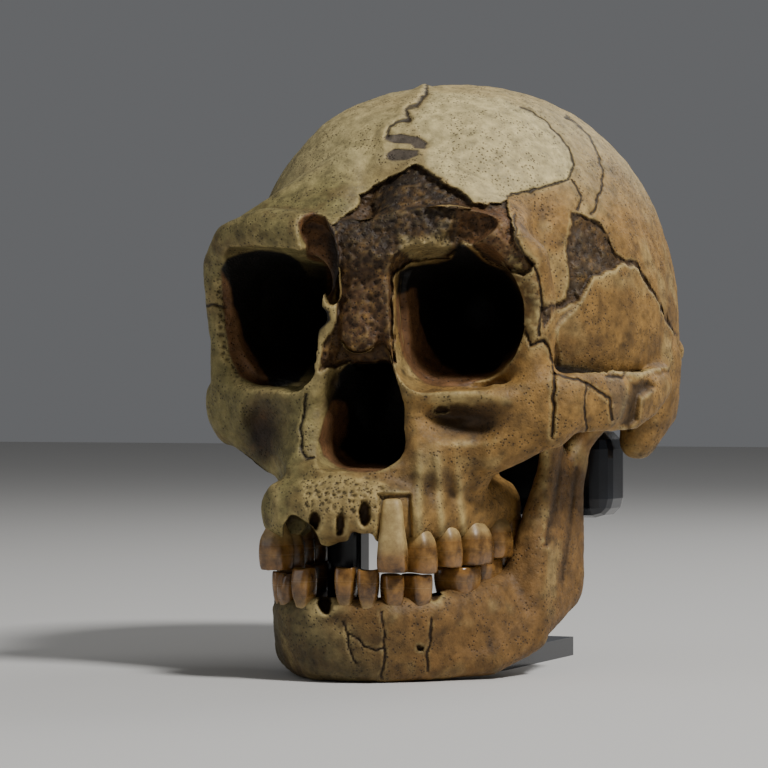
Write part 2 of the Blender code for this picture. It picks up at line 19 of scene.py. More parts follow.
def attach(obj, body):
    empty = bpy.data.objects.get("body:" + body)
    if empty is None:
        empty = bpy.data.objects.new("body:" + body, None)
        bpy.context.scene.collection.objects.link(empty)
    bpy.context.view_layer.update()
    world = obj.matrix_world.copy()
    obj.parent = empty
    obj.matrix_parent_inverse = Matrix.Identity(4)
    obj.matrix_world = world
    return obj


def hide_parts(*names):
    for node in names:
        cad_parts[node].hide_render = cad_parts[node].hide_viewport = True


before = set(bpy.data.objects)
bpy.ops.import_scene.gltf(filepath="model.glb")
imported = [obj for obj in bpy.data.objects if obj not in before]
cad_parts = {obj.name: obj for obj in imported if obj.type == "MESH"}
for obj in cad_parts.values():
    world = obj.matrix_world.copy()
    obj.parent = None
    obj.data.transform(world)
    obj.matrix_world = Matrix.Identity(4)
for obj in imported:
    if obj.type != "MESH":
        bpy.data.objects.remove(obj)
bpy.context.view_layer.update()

MM = 0.001
GAP = 0.3                     # space that touching pieces keep
ORIGIN = (0.0, -0.98, 0.0)    # the middle of the whole thing's box on the floor, in skull millimetres

# Braincase: an egg with different reaches from its centre
VAULT_CENTRE = (0.0, 5.5, 85.0)
VAULT_SIDE = 55.5
VAULT_FRONT = 66.0
VAULT_BACK = 68.5
VAULT_UP = 66.5
VAULT_DOWN = 27.0
VAULT_POWER = 2.22            # above 2 is squarer than an ellipse
TEMPLE_PINCH = 0.12           # how much narrower the front end is, low down
FACE_LEFT = 0.92              # the fossil's face is skewed: its left orbit is narrower
FACE_RIGHT = 1.02

ARCH_SHIFT = -4.9             # the fronts of the tooth rows sit to the skull's right
ARCH_FRONT = -70.0
ARCH_BACK = -46.0             # where that shift has faded out
LOWER_SHARE = 0.87            # how much of it the lower jaw has

# Teeth from the midline outwards: name, X, Y, width along the row, width across it
UPPER_ROW = (
    ("canine", 15.4, -68.8, 7.6, 9.0),
    ("premolar_1", 17.5, -61.6, 7.4, 9.8),
    ("premolar_2", 19.7, -54.4, 7.2, 10.2),
    ("molar_1", 21.7, -45.6, 10.4, 11.2),
    ("molar_2", 23.3, -35.2, 10.0, 11.0),
    ("molar_3", 24.0, -26.6, 8.0, 9.0),
)
LOWER_ROW = (
    ("incisor_1", 2.9, -69.2, 5.4, 6.0),
    ("incisor_2", 8.5, -68.8, 5.5, 6.4),
    ("canine", 13.4, -66.4, 5.6, 7.4),
    ("premolar_1", 17.1, -61.8, 6.0, 7.8),
    ("premolar_2", 18.9, -56.0, 6.4, 8.2),
    ("molar_1", 19.7, -47.2, 10.8, 10.0),
    ("molar_2", 21.2, -36.6, 10.4, 10.0),
    ("molar_3", 23.0, -26.8, 9.2, 9.4),
)
UPPER_TIPS = (26.95, 26.75, 28.0, 28.3, 29.6, 32.4)   # biting heights, lowest at the canines
LOWER_TIPS = (28.4, 28.0, 26.85, 26.65, 26.6, 27.9, 29.4, 32.2)
UPPER_CROWN = 9.0
LOWER_CROWN = 7.5
UPPER_LOST = {("molar_3", -1)}
LOWER_LOST = {("incisor_1", -1), ("premolar_2", 1)}

CRADLE_LOW = (-40.5, 7.0, 38.0)
CRADLE_HIGH = (40.5, 25.0, 61.0)
PROP_LOW = (-14.0, -52.0, 5.3)
PROP_HIGH = (-5.0, -44.0, 48.0)

# How finely the clay is worked
CLAY_VOXEL = 1.0
FINE_VOXEL = 0.5
OPEN_VOXEL = 2.2              # grain of the copy that tells how open each place is
OPEN_REACH = 28.0             # how far off bone still shades a place
SKY_RAYS = 48

# The photograph's camera: it looks at the skull from its left front, level with the eyes
PHOTO_SIZE = 768
PHOTO_AZIMUTH = 22.0
PHOTO_AWAY = 900.0            # millimetres from the skull's upright axis
PHOTO_GRAIN = 0.2625          # millimetres a pixel covers at that axis
PHOTO_LEVEL = 73.0            # height of the picture's middle
PHOTO_SHIFT = 17.85           # how far left of the axis the picture's middle is

# Openings, breaks and cracks in the photograph's pixels
RIGHT_ORBIT = ((219, 268), (226, 257), (240, 252), (262, 248), (286, 251), (300, 260), (308, 271), (315, 288),
               (322, 303), (331, 310), (333, 321), (322, 332), (316, 350), (313, 366), (300, 384), (276, 389),
               (256, 386), (238, 378), (228, 356), (224, 330), (221, 300))
LEFT_ORBIT = ((397, 270), (408, 264), (424, 262), (438, 262), (450, 257), (456, 243), (464, 241), (474, 249),
              (487, 261), (503, 269), (513, 280), (517, 298), (516, 322), (511, 346), (502, 366), (487, 379),
              (466, 388), (441, 389), (424, 386), (411, 374), (401, 354), (396, 330), (394, 300))
NOSE_OPENING = ((335, 384), (337, 372), (347, 361), (356, 362), (365, 371), (374, 366), (386, 366),
                (393, 374), (397, 400), (397, 432), (396, 456), (390, 468), (376, 474), (355, 474),
                (336, 468), (322, 456), (317, 440), (322, 420), (330, 402))
# Strips of the opening walls that the light reaches; the rest inside the openings is painted shade
RIGHT_ORBIT_LIT_WALL = ((219, 268), (228, 284), (234, 306), (243, 338), (255, 358), (264, 374), (276, 389),
                    (240, 384), (222, 356), (214, 300))
LEFT_ORBIT_LIT_WALL = ((394, 296), (416, 288), (418, 312), (426, 340), (441, 365), (462, 376), (500, 372),
                   (470, 394), (424, 390), (398, 356), (388, 320))
NOSE_LIT_WALL = ((335, 400), (346, 404), (348, 430), (338, 446), (356, 462), (392, 466), (398, 480), (330, 480),
             (308, 440), (322, 404))
BROW_HOLE = ((296, 222), (303, 214), (312, 211), (326, 216), (336, 230), (342, 254), (340, 277), (335, 297),
             (329, 308), (326, 296), (326, 271), (322, 263), (315, 262), (306, 259), (304, 245), (298, 234))
GUM_GAP = ((283, 610), (283, 526), (290, 514), (297, 515), (304, 520), (314, 527), (319, 538), (322, 547),
           (330, 552), (343, 550), (349, 540), (352, 531), (362, 534), (372, 533), (378, 545), (378, 610))

# Outline, how far from the camera its cut ends in millimetres, and the share of it left there
CUT_NEAR = 780.0
VIEW_CUTS = ((RIGHT_ORBIT, 853.0, 0.9), (LEFT_ORBIT, 850.0, 0.92), (NOSE_OPENING, 845.0, 0.9),
             (BROW_HOLE, 849.0, 0.8), (GUM_GAP, 848.0, 1.0))

FOREHEAD_CRACK = ((427, 86), (426, 96), (416, 107), (407, 112), (409, 119), (400, 124), (391, 130),
                  (388, 139))
FILLER_UPPER = ((385, 140), (400, 134), (418, 137), (428, 143), (425, 149), (414, 148), (410, 144),
                (386, 143))
FILLER_LOWER = ((386, 154), (394, 149), (419, 150), (418, 155), (406, 160), (392, 161), (387, 159))
BROKEN_BROW = ((331, 226), (342, 217), (357, 209), (360, 195), (378, 184), (397, 173), (416, 163), (427, 169),
               (441, 180), (455, 189), (467, 196), (473, 202), (485, 205), (501, 202), (507, 198), (508, 210),
               (512, 222), (515, 238), (524, 253), (536, 264), (524, 277), (504, 268), (488, 261), (473, 247),
               (464, 241), (456, 250), (449, 259), (426, 259), (406, 264), (394, 275), (393, 296), (394, 330),
               (397, 362), (384, 372), (366, 374), (350, 362), (335, 368), (317, 371), (322, 345), (334, 325),
               (336, 296), (340, 254), (335, 234))
RUSTY_BROW = ((455, 200), (470, 205), (487, 208), (506, 207), (511, 222), (515, 238), (530, 262), (500, 262),
              (473, 245), (458, 238), (456, 215))
PALE_BROW = ((398, 236), (420, 238), (446, 232), (453, 246), (440, 260), (418, 262), (402, 252))
PLATE_SEAM = ((507, 197), (520, 193), (535, 190), (553, 185), (568, 180), (574, 165), (568, 149), (558, 134),
              (541, 118), (520, 106))
SIDE_SEAM = ((566, 116), (576, 124), (589, 136), (597, 152), (602, 167), (602, 185), (597, 202), (592, 214))
SHORT_SEAM = ((572, 180), (581, 197), (577, 210))
SIDE_BREAK = ((572, 213), (584, 216), (597, 222), (609, 235), (615, 254), (622, 258), (637, 262), (648, 279),
              (657, 298), (668, 318), (678, 336), (672, 334), (655, 303), (645, 285), (637, 270), (622, 263),
              (607, 271), (590, 279), (579, 300), (566, 306), (552, 312), (543, 330), (541, 306), (553, 304),
              (566, 298), (569, 279), (566, 246), (570, 228))
TEMPLE_PLATE = ((579, 300), (590, 279), (607, 271), (622, 263), (637, 270), (645, 285), (655, 303),
                (672, 334), (668, 370), (640, 378), (606, 374), (560, 366), (553, 330))
PILLAR_EDGE = ((514, 215), (516, 238), (526, 255), (539, 276), (542, 304), (539, 335))
PILLAR = ((515, 238), (526, 255), (539, 276), (543, 304), (540, 338), (528, 330), (517, 322), (516, 296),
          (512, 278), (500, 266))
CHEEK_CRACK = ((553, 366), (554, 395), (551, 437))
ARCH_CRACK = ((586, 383), (584, 409), (586, 431))
ARCH_TOP_CRACK = ((553, 374), (571, 377), (585, 383), (610, 397), (612, 420))
TEMPLE_CRACK = ((606, 376), (622, 377), (628, 371), (640, 372))
ARCH_END = ((604, 376), (622, 378), (629, 396), (622, 418), (610, 429), (612, 399))
EAR_PIT = ((629, 398), (632, 384), (648, 381), (653, 387), (640, 397), (636, 420), (628, 428), (622, 424))
JAGGED_CHEEK = ((517, 322), (525, 328), (531, 345), (543, 339), (553, 363))
RIGHT_PILLAR_CRACK = ((200, 307), (213, 305), (226, 307))
POROUS_PILLAR = ((212, 280), (224, 278), (228, 320), (232, 360), (244, 384), (300, 390), (300, 398),
                 (236, 388), (218, 350))
NOSE_CRACK = ((306, 393), (304, 414), (301, 432), (301, 450), (306, 459), (314, 457))
CHEEK_HOLLOWS = (((262, 432), (23, 40), 4.8), ((468, 420), (42, 20), 4.4), ((452, 413), (22, 10), 2.2))
CHEEK_PIT = ((442, 410), (8, 4), 2.0)
POROUS_JAW = ((300, 482), (330, 474), (370, 478), (388, 484), (386, 506), (372, 520), (340, 518), (306, 512))
PLATE_FRONT = ((428, 92), (434, 95), (420, 112), (412, 120), (420, 135), (432, 145), (424, 158), (430, 168),
               (455, 187), (472, 202), (500, 202), (508, 196), (553, 185), (568, 180), (574, 165), (566, 145),
               (541, 118), (500, 97))
SOCKETS = (((315, 521), (6, 10), 4.0), ((340, 524), (5, 12), 3.0), ((364, 514), (6, 14), 4.0))
LOWER_SOCKETS = (((325, 602), (7, 12), 7.0), ((434, 592), (6, 10), 5.0))
NERVE_HOLE = ((420, 648), (4, 3), 1.6)
ROOT_RIDGES = (((419, 440), (420, 545)), ((437, 446), (443, 545)), ((457, 456), (464, 535)),
               ((274, 460), (275, 526)))
ROOT_BED = ((379, 494), (411, 494), (413, 545), (376, 545))
# Line, width in pixels and depth in millimetres
CRANIUM_CRACKS = (
    (FOREHEAD_CRACK, 3.4, 1.6), (PLATE_SEAM, 1.5, 0.8), (SIDE_SEAM, 2.0, 1.0), (SHORT_SEAM, 2.6, 0.8),
    (CHEEK_CRACK, 1.8, 1.1), (ARCH_CRACK, 1.3, 0.7), (ARCH_TOP_CRACK, 1.6, 0.9), (TEMPLE_CRACK, 1.4, 0.7),
    (PILLAR_EDGE, 1.4, 0.7), (JAGGED_CHEEK, 1.8, 1.2), (RIGHT_PILLAR_CRACK, 1.5, 0.8), (NOSE_CRACK, 1.6, 0.9))
JAW_CRACK_WIDTH = 1.2
JAW_CRACK_DEPTH = 0.6
JAW_CRACKS = (((344, 621), (347, 632), (348, 646), (352, 656), (358, 664)),
              ((347, 632), (358, 638), (364, 646), (376, 650), (383, 648)),
              ((382, 612), (384, 634), (385, 648), (383, 664), (382, 678)),
              ((431, 618), (430, 640), (427, 656), (428, 672)))
JAW_HOLLOWS = (((474, 642), (22, 16), 1.6), ((330, 622), (16, 12), 1.0), ((560, 500), (12, 60), 1.6))
RAMUS_GROOVES = (((564, 446), (556, 490), (546, 545)), ((576, 470), (570, 520), (562, 580)))

# Colours as they are seen in flat light
CREAM = "#C4B380"
OLIVE = "#857A4C"
OCHRE = "#94703A"
BROWN = "#573F21"
DARK = "#30251A"
RUST = "#6E4B29"
WALL = "#7C5735"
PALE = "#B9A46C"
FILLER = "#5A5044"
# Soil brown: a stain in cracks, pores and blotches, and painted shade in small pits
SOIL_AND_SHADE = "#22180F"
# Near black, painted as shade deep inside openings and shut-in hollows
SHADE_BLACK = "#0C0906"
JAW_OCHRE = "#7C5B30"
JAW_OLIVE = "#5C5233"

# Pattern scales, each one over its size in metres
BONE_MOTTLE = 330.0           # clouds of stain 3 mm across
BONE_GRIT = 1500.0            # grit 0.7 mm across; the real one is finer, and would not show
BONE_PORES = 1100.0           # pores 0.9 mm apart; the real ones are closer, and would not show
PORE_PATCHES = 160.0          # patches of pores 6 mm across
TOOTH_STAIN = 260.0           # clouds 4 mm across
TOOTH_GRAIN = 900.0           # ripples 1.1 mm across
WIPE_MARKS = 60.0             # marks 17 mm across

# Middles of the glued plates on the sides that the photograph hides, in skull millimetres
PLATE_SEEDS = ((-38, -30, 128), (-24, 12, 148), (22, 34, 146), (46, 30, 118), (-52, 12, 108), (-36, 48, 118),
               (4, 62, 122), (40, 54, 98), (-6, 68, 92), (-47, 36, 84), (-30, -8, 146), (20, 0, 152))


def linear(hexed):
    """An sRGB hex colour as linear light."""
    parts = [int(hexed[at:at + 2], 16) / 255.0 for at in (1, 3, 5)]
    return tuple(part / 12.92 if part <= 0.04045 else ((part + 0.055) / 1.055) ** 2.4 for part in parts)


def arch_drift(y, jaw_share=1.0):
    """Sideways shift of a tooth row at one depth."""
    share = (ARCH_BACK - y) / (ARCH_BACK - ARCH_FRONT)
    return ARCH_SHIFT * jaw_share * min(1.0, max(0.0, share))


def to_world(point):
    """Skull millimetres to metres about the object's own origin."""
    return Vector([(value - start) * MM for value, start in zip(point, ORIGIN)])


def unit_ball(subdivisions):
    ball = bmesh.new()
    bmesh.ops.create_icosphere(ball, subdivisions=subdivisions, radius=1.0)
    points = [vert.co.copy() for vert in ball.verts]
    ball.free()
    return points


BALL = unit_ball(3)


def sky_rays(count):
    """Directions spread evenly over a whole sphere."""
    rays = []
    for step in range(count):
        z = 1.0 - (2.0 * step + 1.0) / count
        angle = step * math.pi * (3.0 - math.sqrt(5.0))
        flat = math.sqrt(1.0 - z * z)
        rays.append(Vector((flat * math.cos(angle), flat * math.sin(angle), z)))
    return rays


SKY = sky_rays(SKY_RAYS)


def add_shell(mesh, shell):
    """Move one closed shell into the clay."""
    scrap = bpy.data.meshes.new("scrap")
    shell.to_mesh(scrap)
    shell.free()
    mesh.from_mesh(scrap)
    bpy.data.meshes.remove(scrap)


def add_hull(mesh, pebbles, grow=0.0):
    """Add the hull of some pebbles, each (x, y, z, rx, ry, rz), as one closed shell."""
    shell = bmesh.new()
    for x, y, z, rx, ry, rz in pebbles:
        for point in BALL:
            place = (x + point.x * (rx + grow), y + point.y * (ry + grow), z + point.z * (rz + grow))
            shell.verts.new(to_world(place))
    hulled = bmesh.ops.convex_hull(shell, input=shell.verts, use_existing_faces=False)
    spare = [item for item in hulled["geom_interior"] if isinstance(item, bmesh.types.BMVert)]
    bmesh.ops.delete(shell, geom=spare, context="VERTS")
    bmesh.ops.recalc_face_normals(shell, faces=shell.faces)
    add_shell(mesh, shell)


def mirrored(pebbles, side):
    return [(x * side, y, z, rx, ry, rz) for x, y, z, rx, ry, rz in pebbles]


def add_pair(mesh, pebbles):
    """The same hull on the skull's left and right."""
    for side in (1, -1):
        add_hull(mesh, mirrored(pebbles, side))


def add_chain(mesh, pebbles):
    """A bent bar: the hull of each pebble and the next."""
    for first, second in zip(pebbles, pebbles[1:]):
        add_hull(mesh, (first, second))


def add_chain_pair(mesh, pebbles):
    for side in (1, -1):
        add_chain(mesh, mirrored(pebbles, side))


def face_side(pebbles, side):
    """Mirror pebbles to one side of the skewed face."""
    share = FACE_LEFT if side > 0 else FACE_RIGHT
    return [(x * side * share, y, z, rx, ry, rz) for x, y, z, rx, ry, rz in pebbles]


def mesh_object(name, mesh):
    data = bpy.data.meshes.new(name)
    mesh.to_mesh(data)
    mesh.free()
    obj = bpy.data.objects.new(name, data)
    bpy.context.scene.collection.objects.link(obj)
    return obj


def bake_modifiers(obj):
    """Make the evaluated shape the object's own mesh."""
    graph = bpy.context.evaluated_depsgraph_get()
    graph.update()
    baked = bpy.data.meshes.new_from_object(obj.evaluated_get(graph))
    old = obj.data
    obj.modifiers.clear()
    obj.data = baked
    baked.name = old.name
    bpy.data.meshes.remove(old)


def fuse_clay(obj, voxel, smooth):
    remesh = obj.modifiers.new("fuse", "REMESH")
    remesh.mode = "VOXEL"
    remesh.voxel_size = voxel * MM
    soften = obj.modifiers.new("soften", "SMOOTH")
    soften.factor = 0.5
    soften.iterations = smooth
    bake_modifiers(obj)


def cut_away(obj, tool):
    cut = obj.modifiers.new("cut", "BOOLEAN")
    cut.operation = "DIFFERENCE"
    cut.object = tool
    cut.solver = "EXACT"
    bake_modifiers(obj)
    bpy.data.objects.remove(tool, do_unlink=True)


def block(low, high, grow):
    """A plain block between two corners in skull millimetres, grown on every side."""
    mesh = bmesh.new()
    bmesh.ops.create_cube(mesh, size=1.0)
    size = [(top - bottom + 2 * grow) * MM for bottom, top in zip(low, high)]
    middle = to_world([(bottom + top) / 2.0 for bottom, top in zip(low, high)])
    mesh.transform(Matrix.Translation(middle) @ Matrix.Diagonal((*size, 1.0)))
    return mesh_object("block", mesh)


def vault_mesh(mesh):
    """The braincase: a ball with different reaches, squared a little and pinched at the temples."""
    egg = bmesh.new()
    bmesh.ops.create_icosphere(egg, subdivisions=6, radius=1.0)
    for vert in egg.verts:
        x, y, z = vert.co
        size = sum(abs(value) ** VAULT_POWER for value in (x, y, z)) ** (1.0 / VAULT_POWER)
        x, y, z = x / size, y / size, z / size
        pinch = 1.0 - TEMPLE_PINCH * max(0.0, -y) ** 1.5 * max(0.0, 1.0 - max(0.0, z)) ** 0.5
        reach_y = VAULT_FRONT if y < 0.0 else VAULT_BACK
        reach_z = VAULT_DOWN if z < 0.0 else VAULT_UP
        place = (x * VAULT_SIDE * pinch, y * reach_y, z * reach_z)
        vert.co = to_world([start + value for start, value in zip(VAULT_CENTRE, place)])
    add_shell(mesh, egg)
    add_hull(mesh, ((-12, -15, 111.5, 30, 30, 35.5),))       # the forehead is fuller on its right


def add_brows(mesh):
    """Brow ridge, the outer pillar of each orbit down to the cheek, and the roof back to the forehead."""
    for side in (1, -1):
        add_chain(mesh, face_side((
            (0, -61.5, 105, 8, 6, 8), (13, -62.5, 109.5, 6, 6.5, 6), (25, -61, 111.5, 6, 6.5, 5.5),
            (36, -56.0, 109.0, 6, 6.5, 5.2), (42.6, -49.5, 103, 4.8, 6, 5.6), (44.4, -46.5, 94, 3.8, 5.5, 5),
            (43.4, -45.0, 84, 4.0, 5.5, 5), (42, -46.0, 74, 5, 6, 5)), side))
        add_hull(mesh, face_side((
            (36, -53, 109, 6, 6, 5), (10, -57, 112, 8, 6, 6), (10, -40, 124, 10, 10, 9),
            (30, -34, 114, 8, 9, 9)), side))
        add_hull(mesh, face_side((
            (42, -47, 100, 4, 4, 6), (36, -52, 108, 5, 5, 5), (34, -30, 104, 5, 6, 12),
            (38, -40, 90, 3, 4, 10)), side))


def add_cheeks(mesh):
    """Cheekbone bodies with their roots on the upper jaw, and the arches back to the ears."""
    add_pair(mesh, ((41, -47, 73, 5, 5.5, 4), (47, -42, 68, 4.2, 6, 7.4), (43.5, -44, 62, 4, 6, 5),
                    (33, -52, 67, 4, 4.5, 5)))
    add_pair(mesh, ((33, -52, 65, 5, 5, 5), (28.5, -50, 55, 4, 6, 5), (42, -44, 62, 4, 5, 4.4)))
    add_chain_pair(mesh, (
        (46.8, -41, 68.5, 3.8, 5, 7.6), (52, -31, 68.5, 3.4, 5, 7.6), (55.4, -19, 68.5, 3.3, 5, 7.4),
        (56.2, -7, 70, 3.4, 5, 6), (54.5, 4, 73, 4.4, 6, 5)))


def add_orbit_floors(mesh):
    """Lower rim of each orbit and the bone beside the nose."""
    add_chain_pair(mesh, (
        (41, -47, 71, 4.5, 4.8, 4), (33, -53.5, 68.6, 4, 4.4, 4.6), (23, -58, 68.6, 4, 4.4, 4.6),
        (13.8, -60.5, 71.2, 3.8, 4.4, 4.4), (10.6, -61, 80, 3.2, 4.4, 5), (8, -61.5, 90, 3.2, 4.4, 5),
        (6, -61, 99, 4, 5, 5)))
    add_hull(mesh, ((0, -64, 84, 5, 3.4, 4), (0, -62, 97, 6, 4.4, 5)))


def add_midface(mesh):
    """The solid core between the orbits, the palate and the braincase."""
    add_hull(mesh, ((12, -52, 98, 14, 8, 10), (-12, -52, 98, 14, 8, 10), (0, -46, 78, 28, 8, 8),
                    (0, -20, 80, 30, 8, 12)))
    add_pair(mesh, ((14, -58, 69, 4, 5, 4), (15, -61.5, 53, 4, 4.5, 5), (29, -50, 64, 5, 6, 6),
                    (23, -48, 50, 5, 7, 5), (10, -40, 66, 6, 8, 10)))
    add_hull(mesh, ((14, -56, 56, 5, 6, 8), (-14, -56, 56, 5, 6, 8), (18, -34, 58, 6, 8, 8),
                    (-18, -34, 58, 6, 8, 8)))
    add_pair(mesh, ((28, -50, 90, 9, 4, 10), (36, -44, 86, 4, 4, 16), (26, -30, 88, 8, 8, 12)))
    add_pair(mesh, ((15, -25, 60, 3.2, 6, 7), (17, -22, 47, 3, 4.4, 4)))


def add_upper_arch(mesh):
    """The ridge that the upper teeth grow from, and the palate inside it."""
    row = [(0.0, -71.5), (9.0, -70.4)] + [(x - 0.8, y + 1.0) for _, x, y, _, _ in UPPER_ROW]
    for side in (1, -1):
        add_chain(mesh, [(x * side + arch_drift(y), y, 41.8, 5.3, 5.3, 7.5) for x, y in row])
    add_hull(mesh, ((ARCH_SHIFT, -65, 51, 9, 6, 4), (13, -56, 51, 6, 6, 4), (-18, -56, 51, 6, 6, 4),
                    (18, -30, 52, 6, 6, 4), (-23, -30, 52, 6, 6, 4)))
    add_hull(mesh, ((ARCH_SHIFT, -67.5, 49, 13, 4.4, 4), (11, -63, 52, 5, 4, 4), (-15, -63, 52, 5, 4, 4)))


def add_skull_sides(mesh):
    """The crest over each ear, the mastoids, the nuchal line and the two condyles for the neck."""
    add_pair(mesh, ((53, 14, 79, 4, 13, 7), (50, 20, 68, 5, 10, 8)))
    add_pair(mesh, ((48.5, 17, 66, 6.5, 9, 8), (46, 16, 58, 4.8, 6.4, 5)))
    add_chain_pair(mesh, ((0, 70.5, 86, 9, 4, 4), (26, 63, 85, 9, 4, 4), (42, 47.5, 82, 7, 6, 5)))
    add_pair(mesh, ((11, 30, 58, 4, 7, 4), (8, 37, 59, 4, 4, 4)))


def orbit_cutters(mesh):
    for side in (1, -1):
        add_hull(mesh, face_side((
            (16.6, -66, 99.0, 7.4, 3, 8), (33, -62, 99.5, 8, 3, 8), (34, -60, 79.5, 7, 3, 8.4),
            (18.2, -64, 79.2, 7.8, 3, 8.4), (14, -12, 90, 7, 5, 8)), side))
        add_hull(mesh, face_side((
            (34.5, -56, 89.5, 7.6, 6, 14), (30, -40, 90, 8, 4, 12), (18, -16, 90, 7, 5, 8)), side))


def nose_cutters(mesh):
    """A deep pear-shaped opening with a two-lobed top."""
    add_hull(mesh, ((6.4, -72, 57.4, 5.4, 4, 5.8), (-6.0, -72, 57.4, 5.4, 4, 5.8),
                    (6.4, -70, 72.5, 4.0, 4, 4.5), (-5.4, -70, 72, 4.0, 4, 4.5), (6, -30, 60, 6, 4, 6),
                    (-6, -30, 60, 6, 4, 6), (0, -30, 76, 6, 4, 5)))
    add_hull(mesh, ((5.2, -70, 76, 3.2, 4, 3.4), (4, -52, 74, 3, 4, 4)))
    add_hull(mesh, ((-4.8, -70, 76, 3.4, 4, 3.4), (-4, -52, 74, 3, 4, 4)))


def damage_cutters(mesh):
    """Broken places that show from a step away: forehead recess, inner brow hole, left brow notch."""
    add_hull(mesh, ((-3, -71.0, 117, 5, 6, 6), (11, -66, 126, 5, 6, 4), (28, -66.5, 117, 7, 6, 4),
                    (10, -71.5, 108, 12, 6, 5)))
    add_chain(mesh, ((-11.2, -69, 112.5, 3.8, 8, 3.4), (-9.2, -68, 105, 4.4, 9, 4),
                     (-7.0, -67, 95, 2.4, 8, 3)))
    add_hull(mesh, ((24, -66, 107, 5, 8, 4), (30, -64, 112, 6, 7, 3)))


def base_cutters(mesh):
    """Openings below and at the sides: the great hole for the spinal cord and the ear holes."""
    add_hull(mesh, ((0, 44, 54, 12, 11, 6), (0, 44, 66, 9, 8, 4)))
    add_pair(mesh, ((60, 8.5, 70, 3, 3.4, 4.2), (47, 8, 70, 2, 2.4, 3)))


def temple_cutters(mesh):
    """The hollow between each arch and the braincase, where the chewing muscle ran."""
    add_pair(mesh, ((42, -34, 69, 3.8, 3, 9), (45, -24, 66, 4.2, 5, 9), (46.8, -13, 66, 4.2, 4, 7),
                    (44, -22, 56, 5, 7, 6)))


def palate_cutter(mesh):
    add_hull(mesh, ((ARCH_SHIFT, -62, 40, 7.4, 5, 6), (9, -48, 40, 7, 6, 6.5), (-14, -48, 40, 7, 6, 6.5),
                    (12, -22, 40, 7, 6, 7), (-17, -22, 40, 7, 6, 7)))


def condyle_pebbles():
    return ((35, -5, 64.4, 3.4, 3.6, 2.6), (43, -4.5, 64.6, 3.2, 3.6, 2.4))


def socket_cutters(mesh):
    """Room for the jaw's two joints."""
    for side in (1, -1):
        add_hull(mesh, mirrored(condyle_pebbles(), side), GAP + 0.8)


def add_jaw(mesh):
    """Lower jaw: the body's stations from the chin back, then the rami with their two horns."""
    # X low, X high, Y, half thickness, low Z, high Z
    stations = (
        (0.0, 0.0, -66.8, 5.2, 5.0, 16.4), (7.2, 12.4, -65.2, 5.2, 5.0, 16.4),
        (15.8, 18.8, -57.0, 5.2, 5.0, 17.0), (26.0, 22.2, -44.0, 5.2, 6.0, 19.0),
        (32.4, 26.4, -31.0, 5.0, 10.6, 22.0))
    for side in (1, -1):
        for first, second in zip(stations, stations[1:]):
            pebbles = []
            for low_x, high_x, y, thick, low, high in (first, second):
                drift = arch_drift(y, LOWER_SHARE)
                pebbles.append((low_x * side + drift, y + 0.6, low, thick, thick, 5.2))
                pebbles.append((high_x * side + drift, y - 0.6, high, thick - 0.2, thick - 0.2, 4.6))
            add_hull(mesh, pebbles)
    add_pair(mesh, ((32.4, -32, 12, 4.6, 4, 6), (29, -31, 22, 4, 4, 5), (36.0, -10.5, 22, 3.4, 6, 6.5),
                    (34.6, -24, 47, 3.0, 5.5, 6), (35.6, -7.5, 46, 3.0, 5, 6)))
    add_pair(mesh, ((34.6, -24, 44, 3.0, 5.5, 6), (35.5, -22.5, 60, 2.2, 3.8, 3), (35, -14, 47, 2.8, 5, 5)))
    add_pair(mesh, ((35.6, -8, 46, 3, 5, 6), (37, -5.4, 59, 3.4, 3.4, 3), (35, -14, 45, 2.8, 5, 5)))
    add_pair(mesh, ((37, -5.4, 58, 3.4, 3.4, 3),) + condyle_pebbles())


def view_ray(pixel):
    """A step from the photograph's camera through one pixel that goes one millimetre deep."""
    turn = math.radians(PHOTO_AZIMUTH)
    across = (pixel[0] - PHOTO_SIZE / 2.0) * PHOTO_GRAIN / PHOTO_AWAY
    up = (PHOTO_SIZE / 2.0 - pixel[1]) * PHOTO_GRAIN / PHOTO_AWAY
    return Vector((-math.sin(turn) + math.cos(turn) * across, math.cos(turn) + math.sin(turn) * across, up))


def camera_point():
    turn = math.radians(PHOTO_AZIMUTH)
    cos, sin = math.cos(turn), math.sin(turn)
    return Vector((-PHOTO_SHIFT * cos + PHOTO_AWAY * sin,
                   -PHOTO_SHIFT * sin - PHOTO_AWAY * cos, PHOTO_LEVEL))


def view_cutter(mesh, outline, near, far, taper):
    """A prism along the camera's rays; taper is the share of the outline left at the far end."""
    shell = bmesh.new()
    middle = [sum(values) / len(outline) for values in zip(*outline)]
    rings = []
    for depth, share in ((near, 1.0), (far, taper)):
        ring = []
        for pixel in outline:
            drawn = [start + (value - start) * share for value, start in zip(pixel, middle)]
            ring.append(shell.verts.new(to_world(camera_point() + view_ray(drawn) * depth)))
        rings.append(ring)
    for step in range(len(outline)):
        after = (step + 1) % len(outline)
        shell.faces.new((rings[0][step], rings[0][after], rings[1][after], rings[1][step]))
    caps = [shell.faces.new(ring) for ring in rings]
    bmesh.ops.triangulate(shell, faces=caps)
    bmesh.ops.recalc_face_normals(shell, faces=shell.faces)
    add_shell(mesh, shell)


def add_gum_stub(mesh):
    """The splinter of tooth ridge that hangs between the lost incisors."""
    add_chain(mesh, ((-5.2, -70, 45, 5, 4, 5), (-5.6, -70.2, 37.5, 3.4, 3.4, 4.6)))


